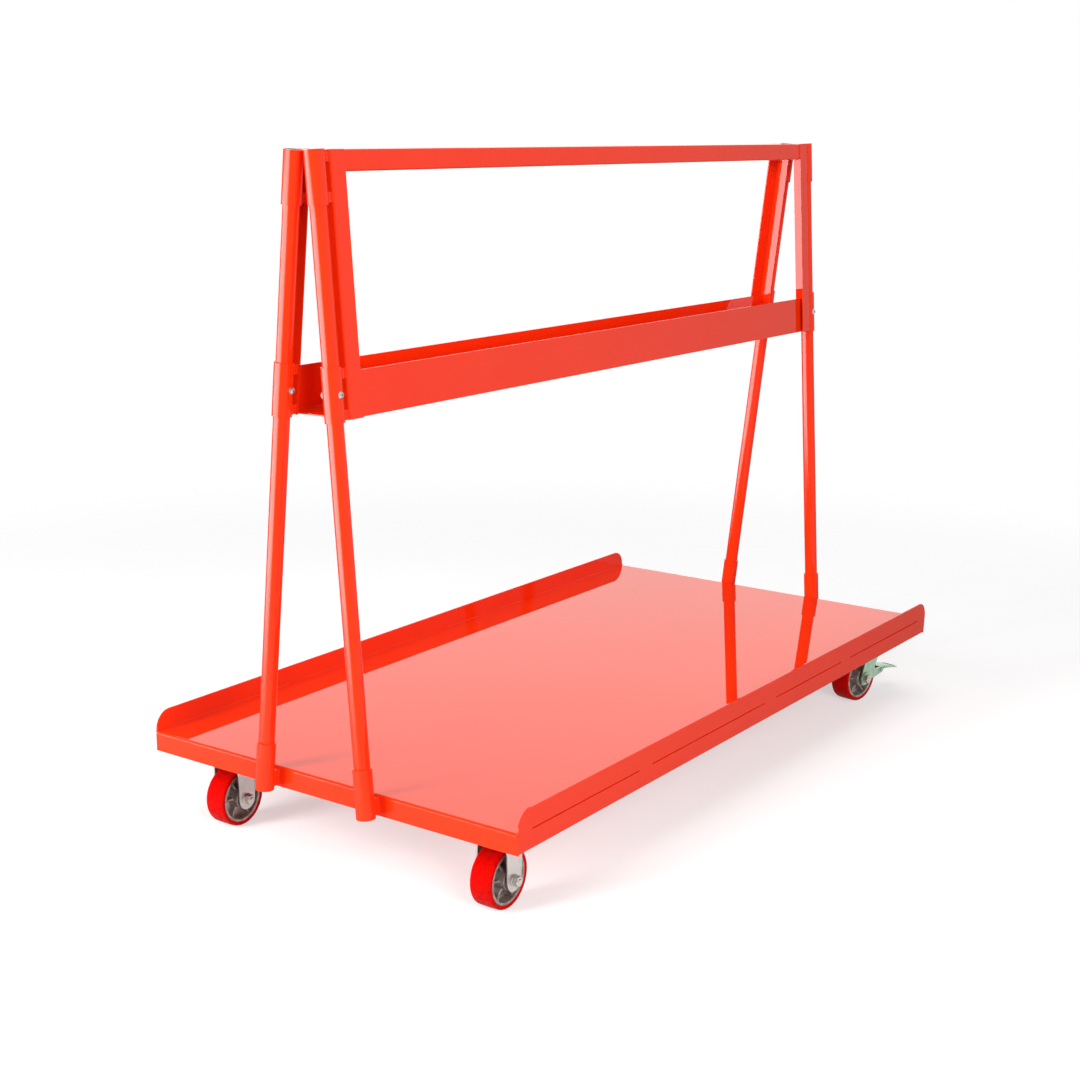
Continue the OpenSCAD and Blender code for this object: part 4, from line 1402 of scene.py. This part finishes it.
@dataclass
class BrakePedal:
    """Pressed brake pedal with downturned cheeks, grip ribs, pivot tube and shoe.

    Sizes in mm, in the side view of its castor: forward of the swivel, and up from the floor.
    """

    side: Side
    turn: float
    pivot: Pair = PEDAL_PIN
    reach: float = 160.0
    drop: float = 24.0
    half_width: float = 18.0
    tip_radius: float = 12.0
    sheet: float = 2.6
    edge_radius: float = 3.0
    cheek_depth: float = 10.0
    tube_half: float = 32.6
    tube_radius: float = 7.5
    bore: float = 4.0
    shoe_half: float = 12.0
    shoe_gap: float = 3.8
    shoe_angle: float = -4.0
    ribs: int = 5
    rib_places: Pair = (0.66, 0.06)
    stations: int = 26
    parts: Builder = field(default_factory=Builder)

    @property
    def where(self) -> Matrix:
        """Place of the castor in the row frame."""
        return castor_place("swivel_" + self.side.word, self.turn)

    def top_line(self, t: float) -> Vector:
        """Point of the pedal's top, from its root at t = 0 to its tip at t = 1.

        Args:
            t: Share of the way.

        Returns:
            The point in the side view.
        """
        x, z = self.pivot
        root, tip = Vector((x - 3.0, z + 0.5)), Vector((self.reach, z - self.drop))
        crest = Vector((x + 0.5 * (self.reach - x), z + 1.5))
        return (1 - t) ** 2 * root + 2 * t * (1 - t) * crest + t * t * tip

    def half_at(self, x: float) -> float:
        """Half width of the blade, which draws in to a round tip.

        Args:
            x: Distance forward of the swivel.

        Returns:
            The half width.
        """
        centre = self.reach - self.tip_radius
        if x >= centre:
            return max(0.8, math.sqrt(max(0.0, self.tip_radius ** 2 - (x - centre) ** 2)))
        share = min(1.0, (centre - x) / (2 * self.tip_radius))
        return self.tip_radius + (self.half_width - self.tip_radius) * math.sin(share * math.pi / 2)

    def blade(self) -> None:
        """Lofts the inverted channel of the blade."""
        rings = []
        for k in range(self.stations + 1):
            t = math.sin(k / self.stations * math.pi / 2)
            here = self.top_line(t)
            half = self.half_at(here.x)
            deep, under = -self.sheet - 0.5 - self.cheek_depth * (1 - t) ** 1.4, -self.sheet - 0.4
            r, inner = min(self.edge_radius, 0.6 * half), max(0.3, half - self.sheet)
            outside = [(-half, deep), (-half, -r), (-half + 0.3 * r, -0.3 * r), (-half + r, 0.0)]
            inside = [(inner, deep), (inner, under), (-inner, under), (-inner, deep)]
            section = outside + [(-y, z) for y, z in reversed(outside)] + inside
            rings.append(self.parts.row([(here.x, y, here.y + z) for y, z in section]))
        self.parts.skin(rings)

    def cheeks(self) -> None:
        """Adds the two arms that carry the blade on the pivot tube."""
        x, z = self.pivot
        under = [self.top_line(t) for t in (0.4, 0.26, 0.12)]
        outline = ([(p.x, p.y - 1.2) for p in under] + arc(x, z, self.tube_radius + 2.0, 100, 215, 7)
                   + [(x + 2.0, z - 16.5), (x + 18.0, z - 15.0), (x + 38.0, z - 10.5)])
        half = self.sheet / 2
        for s in (-1, 1):
            lay = Matrix.Translation((0.0, s * (self.half_width - half), 0.0)) @ FLAT
            self.parts.prism(outline, -half, half, lay)

    def shoe(self) -> None:
        """Adds the shoe that swings against the tyre."""
        x, z = self.pivot
        radius, angle = WHEEL_RADIUS + self.shoe_gap, math.radians(self.shoe_angle)
        nx, nz = radius * math.cos(angle) - TRAIL, radius * math.sin(angle) + WHEEL_RADIUS
        outline = [(x - 6.5, z + 2.0), (nx + 0.6, nz + 5.0), (nx, nz), (nx + 6.0, nz - 2.5), (x + 5.0, z - 4.0)]
        self.parts.prism(outline, -self.shoe_half, self.shoe_half, FLAT)

    def tube(self) -> None:
        """Adds the tube that turns on the pedal's pin."""
        upper = [(self.tube_radius, self.tube_half - 0.6), (self.tube_radius - 0.6, self.tube_half),
                 (self.bore, self.tube_half)]
        lay = Matrix.Translation((self.pivot[0], 0.0, self.pivot[1])) @ FLAT
        self.parts.turned(mirrored(upper) + upper, 32, lay)

    def grip(self) -> Piece:
        """Builds the raised ribs near the tip.

        Returns:
            The ribs as one piece.
        """
        ribs = Builder()
        first, step = self.rib_places
        for t in [first + step * i for i in range(self.ribs)]:
            here, ahead = self.top_line(t), self.top_line(t + 0.01)
            slope = math.atan2(ahead.y - here.y, ahead.x - here.x)
            half = self.half_at(here.x) - 4.0
            lay = Matrix.Translation((here.x, 0.0, here.y)) @ Matrix.Rotation(-slope, 4, "Y")
            ribs.prism([(-1.3, -half), (1.3, -half), (1.3, half), (-1.3, half)], -0.5, 0.9, lay, draft=0.5)
        return ribs.piece("grip_ribs_" + self.side.word, GREEN_ZINC, self.where)

    def build(self) -> None:
        """Builds the pedal and its grip ribs and puts them on their body."""
        word = self.side.word
        for shape in (self.blade, self.cheeks, self.shoe, self.tube):
            shape()
        replace(self.parts.piece("brake_pedal_pressed_" + word, GREEN_ZINC, self.where), "pedal_" + word,
                "zinc_plate", "brake_pedal_" + word)
        replace(self.grip(), "pedal_" + word, "zinc_plate")


@dataclass
class PhotoCamera:
    """Camera solved from the photograph's corners, in pixels, millimetres and degrees."""

    focal_px: float = 1762.6
    centre_px: Pair = (437.5, 646.8)
    place_mm: Triple = (-3360.7, -2108.0, 1428.9)
    yaw: float = 37.004
    pitch: float = -16.48
    roll: float = 0.3
    sensor_mm: float = 36.0

    def build(self) -> None:
        """Makes the camera and hands it to the scene."""
        a, t, r = (math.radians(v) for v in (self.yaw, self.pitch, self.roll))
        ahead = Vector((math.cos(a) * math.cos(t), math.sin(a) * math.cos(t), math.sin(t)))
        right = Vector((math.sin(a), -math.cos(a), 0.0))
        up = right.cross(ahead)
        tilted = right * math.cos(r) + up * math.sin(r)
        upright = up * math.cos(r) - right * math.sin(r)
        data = bpy.data.cameras.new("photo camera")
        data.sensor_width = self.sensor_mm
        data.lens = self.focal_px / PHOTO * self.sensor_mm
        data.shift_x = (PHOTO / 2 - self.centre_px[0]) / PHOTO
        data.shift_y = (self.centre_px[1] - PHOTO / 2) / PHOTO
        data.clip_start, data.clip_end = 0.05, 60.0
        camera = in_scene("photo camera", data)
        turn = Matrix((tilted, upright, -ahead)).transposed().to_4x4()
        camera.matrix_world = Matrix.Translation(Vector(self.place_mm) * MM) @ turn
        bpy.context.scene.camera = camera


@dataclass
class Studio:
    """White sweep, a tall key lamp behind on the left, softer lamps above and in front, and a back card.

    Lengths in metres. A reach is where a change starts and ends, as a distance or as the cosine to a side.
    """

    floor_radius: float = 3.6
    floor_solid: float = 1.3
    floor_pale: float = 0.6
    floor_lift: float = 0.5
    floor_gloss: float = 0.6
    dim_spot: Triple = (-2.4, -1.6, 0.0)
    dim_gloss: float = 0.2
    dim_reach: Pair = (0.5, 1.6)
    fill: float = 0.24
    mirror: float = 0.18
    mirror_side: float = 0.52
    side: Triple = (0.6, -0.8, 0.0)
    side_reach: Pair = (0.2, 0.9)
    glint: float = 6.5
    left: Triple = (-0.77, 0.64, 0.0)
    left_reach: Pair = (0.7, 0.9)
    horizon: float = 0.02
    card_place: Triple = (5.2, 3.9, 2.2)
    card_size: Pair = (10.0, 5.0)
    card_glow: float = 1.32

    @staticmethod
    def oblong(name: str, width: float, height: float, surface: bpy.types.Material) -> Piece:
        """Makes a flat oblong.

        Args:
            name: Name of the object.
            width: Its width.
            height: Its height.
            surface: Its material.

        Returns:
            The object, flat on the floor.
        """
        w, h = width / 2, height / 2
        data = bpy.data.meshes.new(name)
        data.from_pydata([(-w, -h, 0), (w, -h, 0), (w, h, 0), (-w, h, 0)], [], [(0, 1, 2, 3)])
        data.materials.append(surface)
        return in_scene(name, data)

    def pale(self, tree: Tree) -> Socket:
        """Builds the pale floor, which keeps the trolley's soft shadow and fades into the white surround.

        It is dimmer for the paint's sharp reflections, most of all at one spot, and clear from below.

        Args:
            tree: Tree that gets the nodes.

        Returns:
            The shader socket.
        """
        place = add(tree, "ShaderNodeTexCoord").outputs["Object"]
        path = add(tree, "ShaderNodeLightPath").outputs
        away = calc(tree, "LENGTH", place, kind="ShaderNodeVectorMath")
        edge = spread(tree, away, 0.0, 1.0, self.floor_solid, self.floor_radius, interpolation_type="SMOOTHSTEP")
        near = calc(tree, "DISTANCE", place, self.dim_spot, kind="ShaderNodeVectorMath")
        gloss = spread(tree, near, self.floor_pale * self.dim_gloss, self.floor_pale * self.floor_gloss,
                       *self.dim_reach)
        tone = spread(tree, path["Is Singular Ray"], self.floor_pale, gloss, 0.0, 1.0)
        matt = add(tree, "ShaderNodeBsdfDiffuse", {"Color": tone}).outputs[0]
        rough = calc(tree, "SUBTRACT", path["Is Glossy Ray"], path["Is Singular Ray"])
        lift = calc(tree, "MULTIPLY", calc(tree, "MAXIMUM", path["Is Camera Ray"], rough), self.floor_lift)
        glow = add(tree, "ShaderNodeEmission", {"Color": (1, 1, 1, 1), "Strength": lift}).outputs[0]
        lit = add(tree, "ShaderNodeAddShader", {0: matt, 1: glow}).outputs[0]
        clear = add(tree, "ShaderNodeBsdfTransparent").outputs[0]
        gone = calc(tree, "MAXIMUM", edge, add(tree, "ShaderNodeNewGeometry").outputs["Backfacing"])
        return add(tree, "ShaderNodeMixShader", {0: gone, 1: lit, 2: clear}).outputs[0]

    def floor(self) -> None:
        """Lays the floor."""
        made = self.oblong("studio floor", 2 * self.floor_radius, 2 * self.floor_radius,
                           coated("matt white floor", self.pale))

    def glow(self, tree: Tree) -> Socket:
        """Builds the card's glow in a tree and returns its shader socket."""
        return add(tree, "ShaderNodeEmission", {"Color": linear("#fffdf6"), "Strength": self.card_glow}).outputs[0]

    def card(self) -> None:
        """Hangs a glowing card that only reflections see, facing the trolley."""
        made = self.oblong("card", *self.card_size, coated("lit card", self.glow))
        made.location = self.card_place
        made.rotation_mode = "QUATERNION"
        made.rotation_quaternion = (-Vector(self.card_place)).to_2d().to_3d().to_track_quat("Z", "Y")
        made.visible_camera = made.visible_diffuse = made.visible_shadow = False
        made.visible_transmission = False

    def world(self) -> None:
        """Sets a white surround to look at and to reflect, and a softer one to light by.

        The paint's sharp reflections see a level of their own: dim, paler to one side, bright low on the left.
        """
        world = bpy.data.worlds.new("studio")
        world.use_nodes = True
        tree = world.node_tree
        tree.nodes.clear()
        path = add(tree, "ShaderNodeLightPath").outputs
        seen = calc(tree, "MAXIMUM", path["Is Camera Ray"], path["Is Transmission Ray"])
        lit = spread(tree, calc(tree, "MAXIMUM", seen, path["Is Glossy Ray"]), self.fill, 1.0, 0.0, 1.0)
        heading = add(tree, "ShaderNodeTexCoord").outputs["Generated"]
        aside, left = (calc(tree, "DOT_PRODUCT", heading, way, kind="ShaderNodeVectorMath")
                       for way in (self.side, self.left))
        wall = spread(tree, aside, self.mirror, self.mirror_side, *self.side_reach)
        glint = spread(tree, left, 0.0, self.glint, *self.left_reach)
        rise = add(tree, "ShaderNodeSeparateXYZ", {"Vector": heading}).outputs["Z"]
        low = spread(tree, rise, 0.0, 1.0, self.horizon, -self.horizon)
        strip = calc(tree, "MULTIPLY_ADD", glint, low, wall)
        level = spread(tree, path["Is Singular Ray"], lit, strip, 0.0, 1.0)
        back = add(tree, "ShaderNodeBackground", {"Color": (1, 1, 1, 1), "Strength": level})
        add(tree, "ShaderNodeOutputWorld", {"Surface": back.outputs[0]})
        bpy.context.scene.world = world

    @staticmethod
    def lamp(name: str, place: Triple, size: Pair, watts: float) -> None:
        """Adds an oblong lamp that faces the trolley.

        Args:
            name: Name of the lamp.
            place: Where it hangs.
            size: Width and height of its face.
            watts: Its power.
        """
        data = bpy.data.lights.new(name, "AREA")
        data.shape = "RECTANGLE"
        data.size, data.size_y, data.energy = *size, watts
        made = in_scene(name, data)
        made.location = place
        made.visible_glossy = False
        made.rotation_mode = "QUATERNION"
        made.rotation_quaternion = (Vector((0.0, 0.0, 0.5)) - made.location).to_track_quat("-Z", "Y")

    def build(self) -> None:
        """Sets up floor, surround, card and lamps."""
        self.floor()
        self.world()
        self.card()
        self.lamp("tall key lamp, left", (-4.9, 1.7, 2.0), (1.6, 3.4), 330.0)
        self.lamp("overhead lamp", (0.0, -0.4, 4.6), (3.2, 3.2), 80.0)
        self.lamp("front lamp", (-2.9, -4.1, 2.3), (2.2, 2.2), 190.0)


def dress_frame() -> None:
    """Gives every frame node that stays its real finish."""
    slots = {entry["node"]: entry["material_slot"] for entry in frame["record"]["subparts"]}
    for name, made in frame["nodes"].items():
        finish = GREEN_ZINC if name.startswith(GREEN_NODES) else SLOT_FINISH[slots[name]]
        material = finish.material()
        if made.material_slots:
            for place in made.material_slots:
                place.material = material
        else:
            made.data.materials.append(material)
    LOG.info("frame nodes dressed: %d", len(frame["nodes"]))


def main() -> None:
    """Builds the camera, the studio and every piece, then notes the sizes."""
    logging.basicConfig(level=logging.INFO, format="%(name)s: %(message)s")
    PhotoCamera().build()
    Studio().build()
    dress_frame()
    for name in ("fixed_front", "fixed_rear", "swivel_front", "swivel_rear"):
        Wheel(name).build()
    Fasteners().build()
    Welds().build()
    for side in Side:
        CastorFork(side).build()
        SwivelFork(side, SWIVEL_TURN[side]).build()
        BrakePedal(side, SWIVEL_TURN[side]).build()
    bpy.context.scene.view_settings.view_transform = "Standard"


if __name__ == "__main__":
    main()
